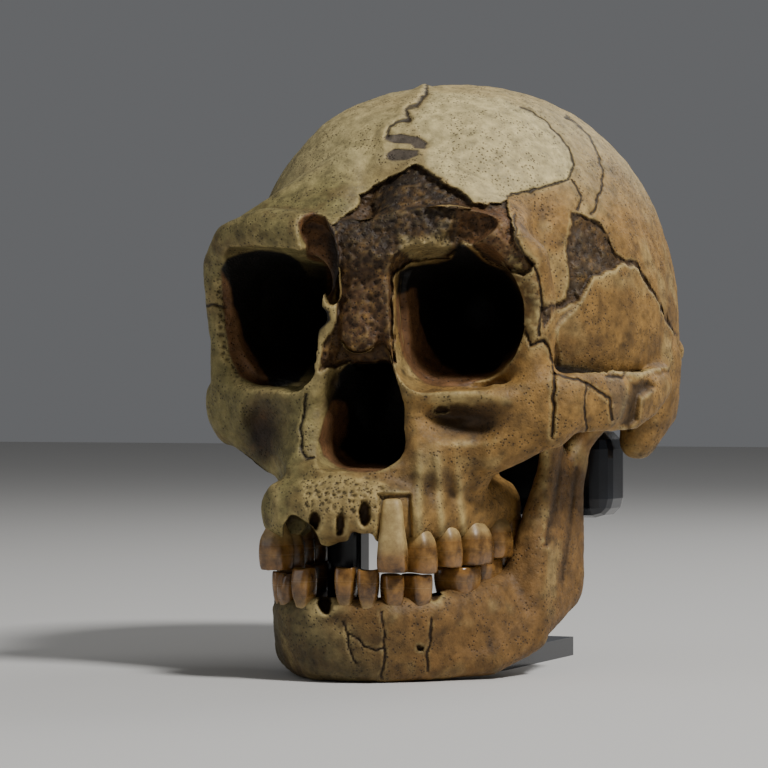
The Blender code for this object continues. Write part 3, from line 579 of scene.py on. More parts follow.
def clay_cranium():
    mesh = bmesh.new()
    vault_mesh(mesh)
    for add in (add_brows, add_cheeks, add_orbit_floors, add_midface, add_upper_arch, add_skull_sides,
                add_gum_stub):
        add(mesh)
    cranium = mesh_object("cranium", mesh)
    fuse_clay(cranium, CLAY_VOXEL, 12)
    for fill in (orbit_cutters, nose_cutters, damage_cutters, base_cutters, palate_cutter, temple_cutters,
                 socket_cutters):
        tool_mesh = bmesh.new()
        fill(tool_mesh)
        tool = mesh_object("tool", tool_mesh)
        fuse_clay(tool, CLAY_VOXEL, 2)
        cut_away(cranium, tool)
    for outline, far, taper in VIEW_CUTS:
        tool_mesh = bmesh.new()
        view_cutter(tool_mesh, outline, CUT_NEAR, far, taper)
        cut_away(cranium, mesh_object("tool", tool_mesh))
    for low, high in ((CRADLE_LOW, CRADLE_HIGH), (PROP_LOW, PROP_HIGH)):
        cut_away(cranium, block(low, high, GAP + 0.5))
    fuse_clay(cranium, FINE_VOXEL, 5)
    return cranium


def clay_mandible():
    mesh = bmesh.new()
    add_jaw(mesh)
    mandible = mesh_object("mandible_bone", mesh)
    fuse_clay(mandible, CLAY_VOXEL, 8)
    cut_away(mandible, block((-60, -90, -10), (60, 20, 0.2), 0.0))
    fuse_clay(mandible, FINE_VOXEL, 4)
    return mandible


class Surface:
    """A fine mesh's points in skull millimetres, with where the photograph's camera sees them."""

    def __init__(self, obj):
        self.obj = obj
        data = obj.data
        count = len(data.vertices)
        flat = np.zeros(count * 3, np.float32)
        data.vertices.foreach_get("co", flat)
        self.points = flat.reshape(-1, 3).astype(float) / MM + np.array(ORIGIN)
        data.vertex_normals.foreach_get("vector", flat)
        self.normals = flat.reshape(-1, 3).astype(float)
        ends = np.zeros(len(data.edges) * 2, np.int32)
        data.edges.foreach_get("vertices", ends)
        self.edges = ends.reshape(-1, 2)
        self.near = np.maximum(np.bincount(ends, minlength=count), 1)
        self.pixels, self.rays = photo_place(self.points)
        self.facing = -(self.normals * self.rays).sum(axis=1)
        self.seen = self.find_seen()
        self.open = self.find_open()
        self.tint = np.zeros((count, 3))
        self.crack = np.full(count, 9.0)
        self.pores = np.zeros(count)

    def find_seen(self):
        """Which points the camera sees with nothing in the way."""
        tree = BVHTree.FromObject(self.obj, bpy.context.evaluated_depsgraph_get())
        seen = np.zeros(len(self.points), bool)
        starts = (self.points - np.array(ORIGIN)) * MM
        for index in np.flatnonzero(self.facing > 0.02):
            back = Vector(-self.rays[index])
            hit = tree.ray_cast(Vector(starts[index]) + back * 0.0006, back)
            seen[index] = hit[0] is None
        return seen

    def find_open(self):
        """How much open air each point faces, from 0 deep in a hollow to 1, told on a coarse copy."""
        coarse = bpy.data.objects.new("coarse", self.obj.data.copy())
        bpy.context.scene.collection.objects.link(coarse)
        fuse_clay(coarse, OPEN_VOXEL, 2)
        tree = BVHTree.FromObject(coarse, bpy.context.evaluated_depsgraph_get())
        finder = KDTree(len(coarse.data.vertices))
        values = []
        for index, vert in enumerate(coarse.data.vertices):
            finder.insert(vert.co, index)
            start = vert.co + vert.normal * OPEN_VOXEL * MM * 0.7
            total, clear = 0.0, 0.0
            for ray in SKY:
                lean = vert.normal.dot(ray)
                if lean > 0.05:
                    total += lean
                    if tree.ray_cast(start, ray, OPEN_REACH * MM)[0] is None:
                        clear += lean
            values.append(clear / total)
        finder.balance()
        bpy.data.objects.remove(coarse, do_unlink=True)
        spots = (self.points - np.array(ORIGIN)) * MM
        found = np.array([values[finder.find(spot)[1]] for spot in spots])
        return self.spread(found, 12)

    def spread(self, values, rounds):
        """Average values with their neighbours along the edges, some rounds over."""
        first, second = self.edges[:, 0], self.edges[:, 1]
        count = len(self.points)
        for _ in range(rounds):
            total = np.bincount(first, values[second], count) + np.bincount(second, values[first], count)
            values = 0.5 * (values + total / self.near)
        return values

    def hollowness(self, rounds):
        """How far each point lies in front of or behind its smoothed surroundings, in millimetres."""
        smooth = np.stack([self.spread(self.points[:, axis], rounds) for axis in range(3)], axis=1)
        return ((smooth - self.points) * self.normals).sum(axis=1)

    def push(self, depth):
        """Move points away from the camera by a depth in millimetres, so that they keep their pixels."""
        self.points += self.rays * depth[:, None]

    def swell(self, height):
        self.points += self.normals * height[:, None]

    def paint(self, share, colour):
        share = np.clip(share, 0.0, 1.0)[:, None]
        self.tint = self.tint * (1.0 - share) + np.array(linear(colour)) * share

    def blotch(self, size, seed, low, high):
        """Blotches of one grain in millimetres, from 0 where the noise is low to 1 where it is high."""
        return ease(rough_noise(self.points, size, seed), low, high)

    def write(self):
        """Give the points, the colours and the crack and pore masks back to the mesh."""
        data = self.obj.data
        data.vertices.foreach_set("co", ((self.points - np.array(ORIGIN)) * MM).astype(np.float32).ravel())
        colour = data.color_attributes.new("bone_tint", "FLOAT_COLOR", "POINT")
        rgba = np.ones((len(self.points), 4), np.float32)
        rgba[:, :3] = self.tint
        colour.data.foreach_set("color", rgba.ravel())
        for name, values in (("crack_away", self.crack), ("pore_share", self.pores)):
            store = data.attributes.new(name, "FLOAT", "POINT")
            store.data.foreach_set("value", values.astype(np.float32))
        data.shade_smooth()
        data.update()


def photo_place(points):
    """Pixels of points in skull millimetres, and the direction from the camera to each."""
    turn = math.radians(PHOTO_AZIMUTH)
    cos, sin = math.cos(turn), math.sin(turn)
    along = points[:, 0] * cos + points[:, 1] * sin
    depth = PHOTO_AWAY - points[:, 0] * sin + points[:, 1] * cos
    grain = PHOTO_GRAIN * depth / PHOTO_AWAY
    middle = PHOTO_SIZE / 2.0
    pixels = np.stack([middle + (along + PHOTO_SHIFT) / grain,
                       middle - (points[:, 2] - PHOTO_LEVEL) / grain], 1)
    rays = points - np.array(camera_point())
    return pixels, rays / np.linalg.norm(rays, axis=1)[:, None]


def cell_random(cells, seed):
    """A repeatable random number from 0 to 1 for each whole-numbered cell."""
    mixed = (cells[:, 0] * 73856093) ^ (cells[:, 1] * 19349663) ^ (cells[:, 2] * 83492791) ^ (seed * 40503)
    mixed = ((mixed ^ (mixed >> 13)) * 1274126177) & 0x7FFFFFFF
    return ((mixed ^ (mixed >> 15)) & 0xFFFF) / 65535.0


def grain_noise(points, size, seed):
    """Smooth random bumps from -1 to 1 whose grain is size millimetres."""
    cells = points / size + 100.0
    base = np.floor(cells).astype(np.int64)
    share = cells - base
    share = share * share * (3.0 - 2.0 * share)
    total = np.zeros(len(points))
    for corner in itertools.product((0, 1), repeat=3):
        weight = np.ones(len(points))
        for axis in range(3):
            weight *= share[:, axis] if corner[axis] else 1.0 - share[:, axis]
        total += weight * cell_random(base + np.array(corner), seed)
    return total * 2.0 - 1.0


def rough_noise(points, size, seed, octaves=3):
    """Several grains of noise, each half the size and strength of the last."""
    total = np.zeros(len(points))
    for step in range(octaves):
        total += grain_noise(points, size / 2 ** step, seed + step) * 0.5 ** step
    return total / (2.0 - 0.5 ** (octaves - 1))


def pit_distance(points, size, seed):
    """Distance to the nearest of some scattered spots about size millimetres apart, over that size."""
    cells = points / size + 100.0
    base = np.floor(cells).astype(np.int64)
    best = np.full(len(points), 9.0)
    for corner in itertools.product((-1, 0, 1), repeat=3):
        cell = base + np.array(corner)
        spot = np.stack([cell_random(cell, seed + axis) for axis in range(3)], axis=1) + cell
        best = np.minimum(best, ((cells - spot) ** 2).sum(axis=1))
    return np.sqrt(best)


def line_distance(pixels, line, closed=False):
    """Pixels from each point to a drawn line."""
    ends = list(line[1:]) + ([line[0]] if closed else [])
    best = np.full(len(pixels), 1e9)
    for start, end in zip(line, ends):
        start = np.array(start, float)
        step = np.array(end, float) - start
        share = np.clip(((pixels - start) @ step) / max(step @ step, 1e-9), 0.0, 1.0)
        best = np.minimum(best, np.linalg.norm(pixels - start - share[:, None] * step, axis=1))
    return best


def inside_by(pixels, outline):
    """How many pixels each point is inside a drawn outline: below zero outside it."""
    inside = np.zeros(len(pixels), bool)
    x, y = pixels[:, 0], pixels[:, 1]
    for (ax, ay), (bx, by) in zip(outline, outline[1:] + outline[:1]):
        crosses = (ay > y) != (by > y)
        with np.errstate(divide="ignore", invalid="ignore"):
            inside ^= crosses & (x < (bx - ax) * (y - ay) / (by - ay) + ax)
    away = line_distance(pixels, outline, closed=True)
    return np.where(inside, away, -away)


def ease(values, low, high):
    """A smooth step from 0 at low to 1 at high."""
    share = np.clip((values - low) / (high - low), 0.0, 1.0)
    return share * share * (3.0 - 2.0 * share)


def fade(away, width):
    """1 on a line, falling softly to nothing past its width."""
    return np.exp(-(away / width) ** 2)


def ragged(surface, size, reach, seed):
    """Pixels shaken by noise, so that a drawn edge breaks up."""
    shake = np.stack([rough_noise(surface.points, size, start) for start in (seed, seed + 9)], 1)
    return surface.pixels + shake * reach


def cut_crack(surface, line, width, depth, shaken):
    """A groove along a drawn line; its width is in pixels and its depth in millimetres."""
    away = line_distance(shaken, line)
    away = np.where(surface.seen, away, 99.0)
    surface.push(depth * fade(away, width))
    surface.crack = np.minimum(surface.crack, np.maximum(0.0, away - width * 0.25) * PHOTO_GRAIN)


def plate_edges(points):
    """Millimetres from each point to the nearest join between two glued plates, roughly."""
    shake = np.stack([rough_noise(points, 9, seed) for seed in (91, 92, 93)], 1) * 5.0
    moved = points + shake + np.stack([rough_noise(points, 2.4, seed) for seed in (94, 95, 96)], 1) * 1.2
    reaches = [np.linalg.norm(moved - np.array(seed), axis=1) for seed in PLATE_SEEDS]
    apart = np.sort(np.stack(reaches, 1), axis=1)
    return (apart[:, 1] - apart[:, 0]) / 2.0


def fossil_ground(surface, left, right):
    """The stained bone under everything: olive to the right, ochre to the left, and mottled."""
    points = surface.points
    surface.tint[:] = np.array(linear(left))
    surface.paint(ease(points[:, 0] + rough_noise(points, 24, 3) * 24, 20, -20), right)
    surface.paint(surface.blotch(16, 11, 0.0, 0.6) * 0.6, BROWN)
    surface.paint(surface.blotch(9, 17, 0.1, 0.6) * 0.35, PALE)
    surface.paint(surface.blotch(4, 19, 0.0, 0.6) * 0.5, BROWN)
    surface.paint(surface.blotch(1.8, 23, 0.0, 0.6) * 0.35, SOIL_AND_SHADE)
    surface.swell(rough_noise(points, 9, 21) * 0.34 + rough_noise(points, 2.4, 25) * 0.2)


def settle_dirt_and_shade(surface):
    """Soil darkens the hollows and fine dents, worn ridges are paler, and places shut in by bone get painted
    shade, dark to near black.
    """
    fine = surface.hollowness(8)
    broad = surface.hollowness(70)
    surface.paint(ease(fine, 0.03, 0.16) * 0.6, SOIL_AND_SHADE)
    surface.paint(ease(broad, 0.1, 0.9) * 0.5, BROWN)
    worn = 1.0 - 0.8 * surface.pores
    surface.paint(ease(-broad, 0.2, 1.1) * 0.4 * worn, PALE)
    surface.paint(ease(-fine, 0.04, 0.2) * 0.4 * worn, PALE)
    # Painted shade: the less open air a place faces, the darker it is painted, down to near black deep in
    # hollows
    surface.paint(ease(surface.open, 0.62, 0.3) * 0.75, DARK)
    surface.paint(ease(surface.open, 0.42, 0.16), SHADE_BLACK)


def pit_at(surface, shaken, place, reach, depth):
    """A steep-sided pit around one pixel, painted dark inside as painted shade."""
    away = oval_distance(shaken, place, reach)
    pit = ease(away, 1.1, 0.6) * surface.seen
    surface.push(depth * pit)
    # Painted shade in the pit
    surface.paint(pit * 0.9, SOIL_AND_SHADE)


def oval_distance(pixels, place, reach):
    """Distance from one pixel, over the reach of an oval round it."""
    return np.hypot((pixels[:, 0] - place[0]) / reach[0], (pixels[:, 1] - place[1]) / reach[1])


def dent_at(surface, place, reach, depth):
    """A soft hollow around one pixel; gives back how deep in it each point is."""
    away = oval_distance(surface.pixels, place, reach)
    share = ease(away, 1.4, 0.2) * surface.seen
    surface.push(depth * share)
    return share


def work_cranium(surface):
    pixels = surface.pixels
    seen = surface.seen.astype(float)
    hidden = (seen - 1.0) * 30.0
    fossil_ground(surface, OCHRE, OLIVE)
    shaken = ragged(surface, 2.4, 2.6, 31)
    rougher = ragged(surface, 1.6, 5.0, 37)

    # Plates of the forehead, then the broken brow that lies deeper
    height = surface.points[:, 2] + rough_noise(surface.points, 20, 5) * 12
    surface.paint(ease(height, 112, 140) * 0.6, CREAM)
    surface.paint(ease(inside_by(shaken, PLATE_FRONT), -3, 2) * seen * 0.85, CREAM)
    lip = line_distance(pixels, FOREHEAD_CRACK)
    left_of = ease(pixels[:, 0] + (pixels[:, 1] - 110) * 0.7, 418, 408)
    surface.swell(0.9 * ease(lip, 16, 2) * left_of * seen)
    broken = inside_by(shaken, BROKEN_BROW) * seen + hidden
    surface.push(2.6 * ease(broken, -0.5, 2.0))
    inner = ease(broken, -1.0, 1.5)
    crumbs = pit_distance(surface.points, 1.9, 41)
    grains = pit_distance(surface.points, 1.1, 45)
    lumps = rough_noise(surface.points, 2.6, 43)
    surface.push(inner * (1.0 * (0.6 - crumbs) + 0.9 * lumps + 0.6 * (0.6 - grains)))
    surface.paint(inner, DARK)
    surface.paint(inner * surface.blotch(3.0, 47, -0.1, 0.5) * 0.7, BROWN)
    low = ease(pixels[:, 1], 236, 290)
    surface.paint(inner * low * 0.5, RUST)
    surface.paint(inner * surface.blotch(1.6, 53, 0.0, 0.5) * (0.3 + 0.35 * low), OCHRE)
    surface.paint(ease(inside_by(shaken, RUSTY_BROW), -2, 3) * inner * 0.8, RUST)
    surface.paint(ease(inside_by(shaken, PALE_BROW), -3, 4) * inner * 0.5, PALE)
    surface.pores = np.maximum(surface.pores, inner)

    gap = ease(inside_by(shaken, SIDE_BREAK) * seen + hidden, -1.5, 2.0)
    surface.push(gap * (1.5 + 1.6 * rough_noise(surface.points, 3.4, 59) + 0.9 * (0.6 - crumbs)))
    surface.swell(0.8 * ease(inside_by(shaken, TEMPLE_PLATE), -2, 2) * seen)
    surface.paint(gap * 0.9, DARK)
    surface.paint(gap * surface.blotch(4.0, 60, -0.1, 0.5) * 0.8, BROWN)
    surface.paint(gap * surface.blotch(1.6, 61, 0.1, 0.6) * 0.5, OCHRE)
    surface.pores = np.maximum(surface.pores, gap)
    pillar = ease(inside_by(shaken, PILLAR), -2, 2) * seen
    surface.push(pillar * 0.6 * rough_noise(surface.points, 1.8, 63))
    surface.paint(pillar * 0.6, BROWN)
    surface.paint(pillar * surface.blotch(1.5, 64, 0.1, 0.5) * 0.7, PALE)

    for place, reach, depth in CHEEK_HOLLOWS:
        hollow = dent_at(surface, place, reach, depth)
        # Painted shade: each dent is painted dark, darkest at its middle
        surface.paint(hollow * 1.1 - 0.1, DARK)
        surface.paint(hollow * surface.blotch(3.0, 65, 0.0, 0.6) * 0.4, RUST)
    # Painted shade: the ear pit is pushed in and painted dark
    pit = ease(inside_by(pixels, EAR_PIT), -5, 5) * seen
    surface.push(4.0 * pit)
    surface.paint(pit * 0.85, DARK)
    pit_at(surface, shaken, *CHEEK_PIT)
    for outline, size in ((POROUS_JAW, 1.5), (POROUS_PILLAR, 1.5)):
        porous = ease(inside_by(rougher, outline), -3, 4) * seen
        surface.push(porous * 0.7 * ease(pit_distance(surface.points, size, 67), 0.5, 0.15))
        surface.paint(porous * 0.5, PALE)
        surface.pores = np.maximum(surface.pores, porous)
    for place, reach, depth in SOCKETS:
        pit_at(surface, shaken, place, reach, depth)
    for line in ROOT_RIDGES:
        away = line_distance(pixels, line)
        grown = ease(pixels[:, 1], 428, 500) * seen
        surface.push(-1.3 * fade(away, 6.0) * grown)
        # Painted highlight along the ridge's crest
        surface.paint(fade(away, 4.0) * grown * 0.5, PALE)
    surface.push(2.0 * ease(inside_by(pixels, ROOT_BED), -2, 3) * seen)
    for outline in (FILLER_UPPER, FILLER_LOWER):
        patch = ease(inside_by(pixels, outline), -0.6, 0.6) * seen
        surface.push(0.5 * patch)
        surface.paint(patch, FILLER)
    surface.paint(ease(inside_by(pixels, ARCH_END), -1, 1) * seen * 0.5, FILLER)
    for line, width, depth in CRANIUM_CRACKS:
        cut_crack(surface, line, width, depth, shaken)
    behind = ease(surface.facing, 0.12, -0.05) * ease(surface.points[:, 2], 66, 78)
    joins = np.where(behind > 0.5, plate_edges(surface.points), 9.0)
    surface.swell(-0.8 * fade(joins, 0.8))
    surface.crack = np.minimum(surface.crack, np.maximum(0.0, joins - 0.25))
    settle_dirt_and_shade(surface)

    # Inside the openings everything is painted near black as painted shade, and the strips of wall that the
    # light reaches are painted rust brown
    for opening, lit_wall in ((RIGHT_ORBIT, RIGHT_ORBIT_LIT_WALL), (LEFT_ORBIT, LEFT_ORBIT_LIT_WALL),
                          (NOSE_OPENING, NOSE_LIT_WALL)):
        shaded_inside = ease(inside_by(pixels, opening), 0.5, 3.5) * seen
        surface.paint(shaded_inside, SHADE_BLACK)
        lit = ease(inside_by(shaken, lit_wall), -2, 2)
        surface.paint(shaded_inside * lit * 0.9, WALL)
        surface.paint(shaded_inside * lit * surface.blotch(3.0, 81, 0.0, 0.7) * 0.5, RUST)
    hole = ease(inside_by(pixels, BROW_HOLE), 0.0, 2.5) * seen
    surface.paint(hole, RUST)
    surface.paint(hole * surface.blotch(2.0, 83, -0.2, 0.5) * 0.6, SOIL_AND_SHADE)
    # Painted shade: the hole's deeper right part is painted near black
    surface.paint(hole * ease(pixels[:, 0] - (pixels[:, 1] - 212) * 0.08, 318, 332) * 0.9, SHADE_BLACK)


def work_mandible(surface):
    fossil_ground(surface, JAW_OCHRE, JAW_OLIVE)
    shaken = ragged(surface, 2.4, 2.2, 71)
    for place, reach, depth in JAW_HOLLOWS:
        dent_at(surface, place, reach, depth)
    for place, reach, depth in (*LOWER_SOCKETS, NERVE_HOLE):
        pit_at(surface, shaken, place, reach, depth)
    for line in JAW_CRACKS:
        cut_crack(surface, line, JAW_CRACK_WIDTH, JAW_CRACK_DEPTH, shaken)
    for line in RAMUS_GROOVES:
        away = line_distance(shaken, line)
        groove = fade(away, 3.0) * surface.seen
        surface.push(1.0 * groove)
        # Painted shade: each groove is painted dark along its line
        surface.paint(groove * 0.6, DARK)
    settle_dirt_and_shade(surface)


def add_node(tree, kind, settings=None, links=None):
    """Add a node, set its values, and link its inputs."""
    node = tree.nodes.new(kind)
    for name, value in (settings or {}).items():
        if name in node.inputs:
            node.inputs[name].default_value = value
        else:
            setattr(node, name, value)
    for name, source in (links or {}).items():
        tree.links.new(source, node.inputs[name])
    return node


def new_material(name):
    made = bpy.data.materials.new(name)
    made.use_nodes = True
    tree = made.node_tree
    shader = tree.nodes["Principled BSDF"]
    return made, tree, shader


def fossil_bone():
    """Fossil bone, stained by minerals and worn in the ground: matt and pitted, with soil in its cracks."""
    made, tree, shader = new_material("fossil_bone")
    place = add_node(tree, "ShaderNodeTexCoord").outputs["Object"]
    tint = add_node(tree, "ShaderNodeAttribute", {"attribute_name": "bone_tint"}).outputs["Color"]
    crack = add_node(tree, "ShaderNodeAttribute", {"attribute_name": "crack_away"}).outputs["Fac"]
    porous = add_node(tree, "ShaderNodeAttribute", {"attribute_name": "pore_share"}).outputs["Fac"]
    mottle = add_node(tree, "ShaderNodeTexNoise", {"Scale": BONE_MOTTLE, "Detail": 6.0, "Roughness": 0.65},
                      {"Vector": place})
    fine = add_node(tree, "ShaderNodeTexNoise", {"Scale": BONE_GRIT, "Detail": 3.0, "Roughness": 0.6},
                    {"Vector": place})
    pore = add_node(tree, "ShaderNodeTexVoronoi", {"Scale": BONE_PORES, "Randomness": 1.0}, {"Vector": place})
    shade = add_node(tree, "ShaderNodeMapRange",
                     {"From Min": 0.3, "From Max": 0.7, "To Min": 0.5, "To Max": 1.25},
                     {"Value": mottle.outputs["Fac"]})
    varied = add_node(tree, "ShaderNodeVectorMath", {"operation": "SCALE"},
                      {"Vector": tint, "Scale": shade.outputs["Result"]})
    patchy = add_node(tree, "ShaderNodeTexNoise", {"Scale": PORE_PATCHES, "Detail": 2.0}, {"Vector": place})
    where = add_node(tree, "ShaderNodeMapRange", {"From Min": 0.4, "From Max": 0.56},
                     {"Value": patchy.outputs["Fac"]})
    more = add_node(tree, "ShaderNodeMath", {"operation": "MAXIMUM"}, {0: where.outputs["Result"], 1: porous})
    dot = add_node(tree, "ShaderNodeMapRange",
                   {"From Min": 0.12, "From Max": 0.36, "To Min": 0.85, "To Max": 0.0},
                   {"Value": pore.outputs["Distance"]})
    dots = add_node(tree, "ShaderNodeMath", {"operation": "MULTIPLY"},
                    {0: dot.outputs["Result"], 1: more.outputs["Value"]})
    line = add_node(tree, "ShaderNodeMapRange",
                    {"From Min": 0.03, "From Max": 0.36, "To Min": 0.88, "To Max": 0.0},
                    {"Value": crack})
    dirt = add_node(tree, "ShaderNodeMath", {"operation": "MAXIMUM"},
                    {0: dots.outputs["Value"], 1: line.outputs["Result"]})
    soiled = add_node(tree, "ShaderNodeMix", {"data_type": "RGBA"})
    soiled.inputs[7].default_value = (*linear(SOIL_AND_SHADE), 1.0)
    tree.links.new(dirt.outputs["Value"], soiled.inputs[0])
    tree.links.new(varied.outputs["Vector"], soiled.inputs[6])
    tree.links.new(soiled.outputs[2], shader.inputs["Base Color"])
    rough = add_node(tree, "ShaderNodeMapRange",
                     {"From Min": 0.3, "From Max": 0.7, "To Min": 0.5, "To Max": 0.75},
                     {"Value": fine.outputs["Fac"]})
    tree.links.new(rough.outputs["Result"], shader.inputs["Roughness"])
    height = add_node(tree, "ShaderNodeMath", {"operation": "SUBTRACT"},
                      {0: fine.outputs["Fac"], 1: dirt.outputs["Value"]})
    bump = add_node(tree, "ShaderNodeBump", {"Strength": 0.6, "Distance": 0.3 * MM},
                    {"Height": height.outputs["Value"]})
    tree.links.new(bump.outputs["Normal"], shader.inputs["Normal"])
    shader.inputs["IOR"].default_value = 1.5
    shader.inputs["Specular IOR Level"].default_value = 0.35
    return made


def tooth_enamel():
    """Fossil enamel, stained amber by minerals: glossy and clouded, and duller and paler on the root."""
    made, tree, shader = new_material("fossil_enamel")
    place = add_node(tree, "ShaderNodeTexCoord").outputs["Object"]
    crown = add_node(tree, "ShaderNodeAttribute", {"attribute_name": "crown_share"}).outputs["Fac"]
    stain = add_node(tree, "ShaderNodeTexNoise", {"Scale": TOOTH_STAIN, "Detail": 5.0, "Roughness": 0.7},
                     {"Vector": place})
    enamel = add_node(tree, "ShaderNodeValToRGB", None, {"Fac": stain.outputs["Fac"]})
    ramp = enamel.color_ramp
    ramp.elements[0].position = 0.32
    ramp.elements[0].color = (*linear("#3A2310"), 1.0)
    ramp.elements[1].position = 0.7
    ramp.elements[1].color = (*linear("#9A6E36"), 1.0)
    root = add_node(tree, "ShaderNodeValToRGB", None, {"Fac": stain.outputs["Fac"]})
    root.color_ramp.elements[0].position = 0.3
    root.color_ramp.elements[0].color = (*linear("#7E6136"), 1.0)
    root.color_ramp.elements[1].position = 0.7
    root.color_ramp.elements[1].color = (*linear("#BFA66C"), 1.0)
    mixed = add_node(tree, "ShaderNodeMix", {"data_type": "RGBA"})
    tree.links.new(crown, mixed.inputs[0])
    tree.links.new(root.outputs["Color"], mixed.inputs[6])
    tree.links.new(enamel.outputs["Color"], mixed.inputs[7])
    tree.links.new(mixed.outputs[2], shader.inputs["Base Color"])
    rough = add_node(tree, "ShaderNodeMapRange", {"To Min": 0.6, "To Max": 0.24}, {"Value": crown})
    tree.links.new(rough.outputs["Result"], shader.inputs["Roughness"])
    fine = add_node(tree, "ShaderNodeTexNoise", {"Scale": TOOTH_GRAIN, "Detail": 3.0}, {"Vector": place})
    bump = add_node(tree, "ShaderNodeBump", {"Strength": 0.3, "Distance": 0.2 * MM},
                    {"Height": fine.outputs["Fac"]})
    tree.links.new(bump.outputs["Normal"], shader.inputs["Normal"])
    shader.inputs["IOR"].default_value = 1.62
    return made


def cast_acrylic():
    """Cast acrylic, smoke-tinted and polished: near black, with clean reflections and faint wipe marks."""
    made, tree, shader = new_material("dark_acrylic")
    place = add_node(tree, "ShaderNodeTexCoord").outputs["Object"]
    wipe = add_node(tree, "ShaderNodeTexNoise", {"Scale": WIPE_MARKS, "Detail": 4.0}, {"Vector": place})
    shade = add_node(tree, "ShaderNodeValToRGB", None, {"Fac": wipe.outputs["Fac"]})
    shade.color_ramp.elements[0].color = (*linear("#0B0D12"), 1.0)
    shade.color_ramp.elements[1].color = (*linear("#1B1F28"), 1.0)
    tree.links.new(shade.outputs["Color"], shader.inputs["Base Color"])
    rough = add_node(tree, "ShaderNodeMapRange",
                     {"From Min": 0.3, "From Max": 0.7, "To Min": 0.1, "To Max": 0.22},
                     {"Value": wipe.outputs["Fac"]})
    tree.links.new(rough.outputs["Result"], shader.inputs["Roughness"])
    shader.inputs["IOR"].default_value = 1.49
    return made


def row_turn(row, index):
    """The direction of the row at one tooth, from its neighbours."""
    before = row[max(0, index - 1)]
    after = row[min(len(row) - 1, index + 1)]
    start_x = before[1] if index else -before[1]
    return math.atan2(after[2] - before[2], after[1] - start_x)


TOOTH_STEPS = 28              # points round one tooth
CUSP_WORN = 0.35              # how far the cusps still stand above the worn chewing face
CUSPS = {                     # angles of the cusps in turns round the crown
    "incisor_1": (0.0, 0.5), "incisor_2": (0.0, 0.5), "canine": (0.25,),
    "premolar_1": (0.25, 0.75), "premolar_2": (0.25, 0.75),
    "molar_1": (0.12, 0.38, 0.62, 0.88), "molar_2": (0.12, 0.38, 0.62, 0.88),
    "molar_3": (0.13, 0.37, 0.62, 0.88),
}


def tooth_shell(mesh, row, index, side, tip_z, up):
    """One tooth lofted from its root to a crown with cusps; up is the way from tip to root."""
    name, x, y, along, across = row[index]
    turn = Euler((0.0, 0.0, row_turn(row, index) * side))
    middle = Vector((x * side + arch_drift(y, LOWER_SHARE if row is LOWER_ROW else 1.0), y, 0.0))
    crown = UPPER_CROWN if up > 0 else LOWER_CROWN
    layer = mesh.verts.layers.float.get("crown_share") or mesh.verts.layers.float.new("crown_share")
    bare = up > 0 and name == "canine" and side > 0
    # height from the worn top over the crown's own, width share, crown share
    root, neck, side_share = (0.8, 0.0, 0.15) if bare else (0.5, 0.3, 0.95) if up > 0 else (0.6, 0.9, 1.0)
    deep = 2.05 if bare else 1.6
    levels = ((deep, root * 0.6, 0.0), (deep - 0.1, root * 0.9, 0.0), (1.4, root, 0.0),
              (1.2, root, neck * 0.5), (0.95, 0.88, neck), (0.7, 0.94, side_share), (0.45, 1.0, 0.9),
              (0.2, 1.0, 1.0), (0.06, 0.98, 1.0), (0.0, 0.93, 1.0), (0.0, 0.84, 0.55), (0.05, 0.6, 0.4),
              (0.07, 0.2, 0.3))
    rings = []
    for height, width, share in levels:
        ring = []
        for step in range(TOOTH_STEPS):
            angle = 2.0 * math.pi * step / TOOTH_STEPS
            flat = (abs(math.cos(angle)) ** 4 + abs(math.sin(angle)) ** 4) ** (-0.25)
            near = max(math.cos(angle - 2.0 * math.pi * cusp) for cusp in CUSPS[name])
            bite = (1.0 - float(ease(np.array(near), 0.2, 1.0))) * CUSP_WORN if height < 0.1 else 0.0
            bulge = 1.0 + 0.03 * near if share else 1.0
            front = name.startswith("incisor") or name == "canine"
            thin = 0.72 + 0.28 * height / 0.6 if front and height < 0.6 else 1.0
            spot = Vector((math.cos(angle) * flat * (along - GAP) / 2.0 * width * bulge,
                           math.sin(angle) * flat * across / 2.0 * width * bulge * thin, 0.0))
            spot.rotate(turn)
            spot += middle
            spot.z = tip_z + up * (height * crown + bite)
            vert = mesh.verts.new(to_world(spot))
            vert[layer] = share
            ring.append(vert)
        rings.append(ring)
    for lower, upper in zip(rings, rings[1:]):
        for step in range(TOOTH_STEPS):
            after = (step + 1) % TOOTH_STEPS
            mesh.faces.new((lower[step], lower[after], upper[after], upper[step]))
    for ring in (rings[0], rings[-1]):
        mesh.faces.new(ring)


def tooth_row(name, row, lost, tips, up):
    mesh = bmesh.new()
    for index, tooth in enumerate(row):
        for side in (1, -1):
            if (tooth[0], side) not in lost:
                tooth_shell(mesh, row, index, side, tips[index], up)
    bmesh.ops.recalc_face_normals(mesh, faces=mesh.faces)
    teeth = mesh_object(name, mesh)
    round_off = teeth.modifiers.new("round", "SUBSURF")
    round_off.levels = 1
    round_off.render_levels = 1
    teeth.data.shade_smooth()
    return teeth


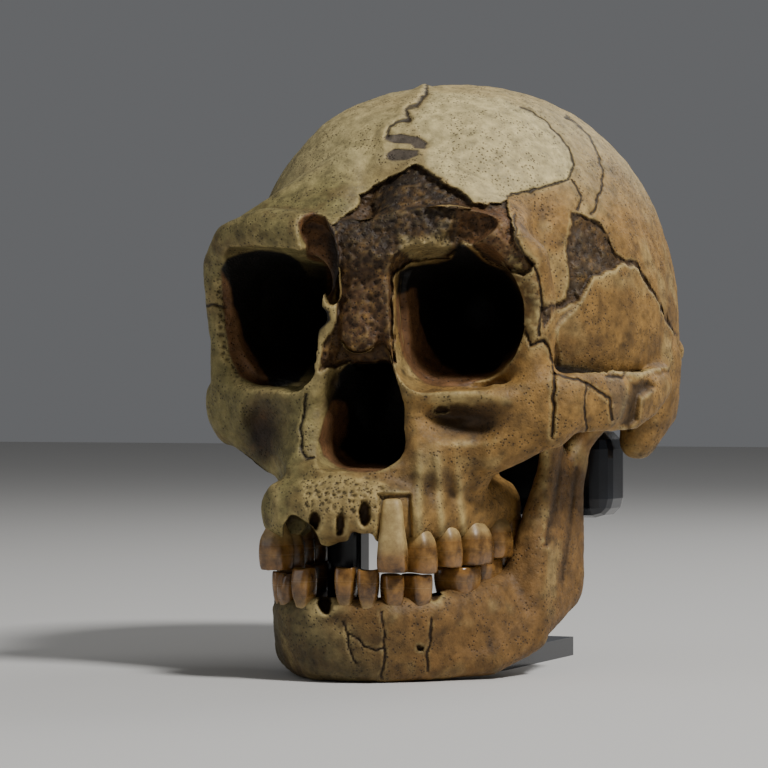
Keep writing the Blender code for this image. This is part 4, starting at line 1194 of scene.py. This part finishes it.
def bone_pieces():
    bone = fossil_bone()
    enamel = tooth_enamel()
    cranium = clay_cranium()
    surface = Surface(cranium)
    work_cranium(surface)
    surface.write()
    jaw = clay_mandible()
    surface = Surface(jaw)
    work_mandible(surface)
    surface.write()
    upper = tooth_row("teeth_upper", UPPER_ROW, UPPER_LOST, UPPER_TIPS, 1.0)
    lower = tooth_row("teeth_lower", LOWER_ROW, LOWER_LOST, LOWER_TIPS, -1.0)
    for piece, finish in ((cranium, bone), (jaw, bone), (upper, enamel), (lower, enamel)):
        piece.data.materials.clear()
        piece.data.materials.append(finish)
        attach(piece, "root")
    stands = [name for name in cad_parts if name.startswith("stand_")]
    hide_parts(*[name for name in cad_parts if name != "mandible" and name not in stands])
    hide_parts("mandible")
    acrylic = cast_acrylic()
    for name in stands:
        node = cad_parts[name]
        node.data.materials.clear()
        node.data.materials.append(acrylic)


def studio():
    """Pale floor, and soft light from the front and above."""
    floor_mesh = bmesh.new()
    bmesh.ops.create_grid(floor_mesh, x_segments=1, y_segments=1, size=3.0)
    floor = mesh_object("floor", floor_mesh)
    made, _, shader = new_material("floor")
    shader.inputs["Base Color"].default_value = (*linear("#C9C7C3"), 1.0)
    shader.inputs["Roughness"].default_value = 0.9
    floor.data.materials.append(made)
    world = bpy.data.worlds.new("studio")
    bpy.context.scene.world = world
    world.use_nodes = True
    world.node_tree.nodes["Background"].inputs["Color"].default_value = (*linear("#D4D6DA"), 1.0)
    world.node_tree.nodes["Background"].inputs["Strength"].default_value = 0.2
    # Name, place in metres, watts and size in metres
    lights = (("key", (0.8, -0.36, 1.1), 20.0, 0.22), ("fill", (-0.75, -0.6, 0.35), 1.0, 0.6),
              ("rim", (0.3, 0.8, 0.7), 3.0, 0.5))
    for name, place, power, size in lights:
        lamp = bpy.data.lights.new(name, "AREA")
        lamp.energy = power
        lamp.size = size
        holder = bpy.data.objects.new(name, lamp)
        bpy.context.scene.collection.objects.link(holder)
        holder.location = place
        aim = Vector((0.0, 0.0, 0.08)) - holder.location
        holder.rotation_euler = aim.to_track_quat("-Z", "Y").to_euler()


def photo_camera():
    turn = math.radians(PHOTO_AZIMUTH)
    across = Vector((math.cos(turn), math.sin(turn), 0.0))
    back = Vector((math.sin(turn), -math.cos(turn), 0.0))
    lens = bpy.data.cameras.new("photo_camera")
    lens.sensor_width = 36.0
    lens.lens = 36.0 * PHOTO_AWAY / (PHOTO_SIZE * PHOTO_GRAIN)
    lens.clip_start = 0.05
    holder = bpy.data.objects.new("photo_camera", lens)
    bpy.context.scene.collection.objects.link(holder)
    target = across * (-PHOTO_SHIFT * MM) + to_world((0.0, 0.0, PHOTO_LEVEL))
    holder.location = target + back * (PHOTO_AWAY * MM)
    holder.rotation_euler = (math.radians(90.0), 0.0, turn)
    bpy.context.scene.camera = holder


bone_pieces()
studio()
photo_camera()
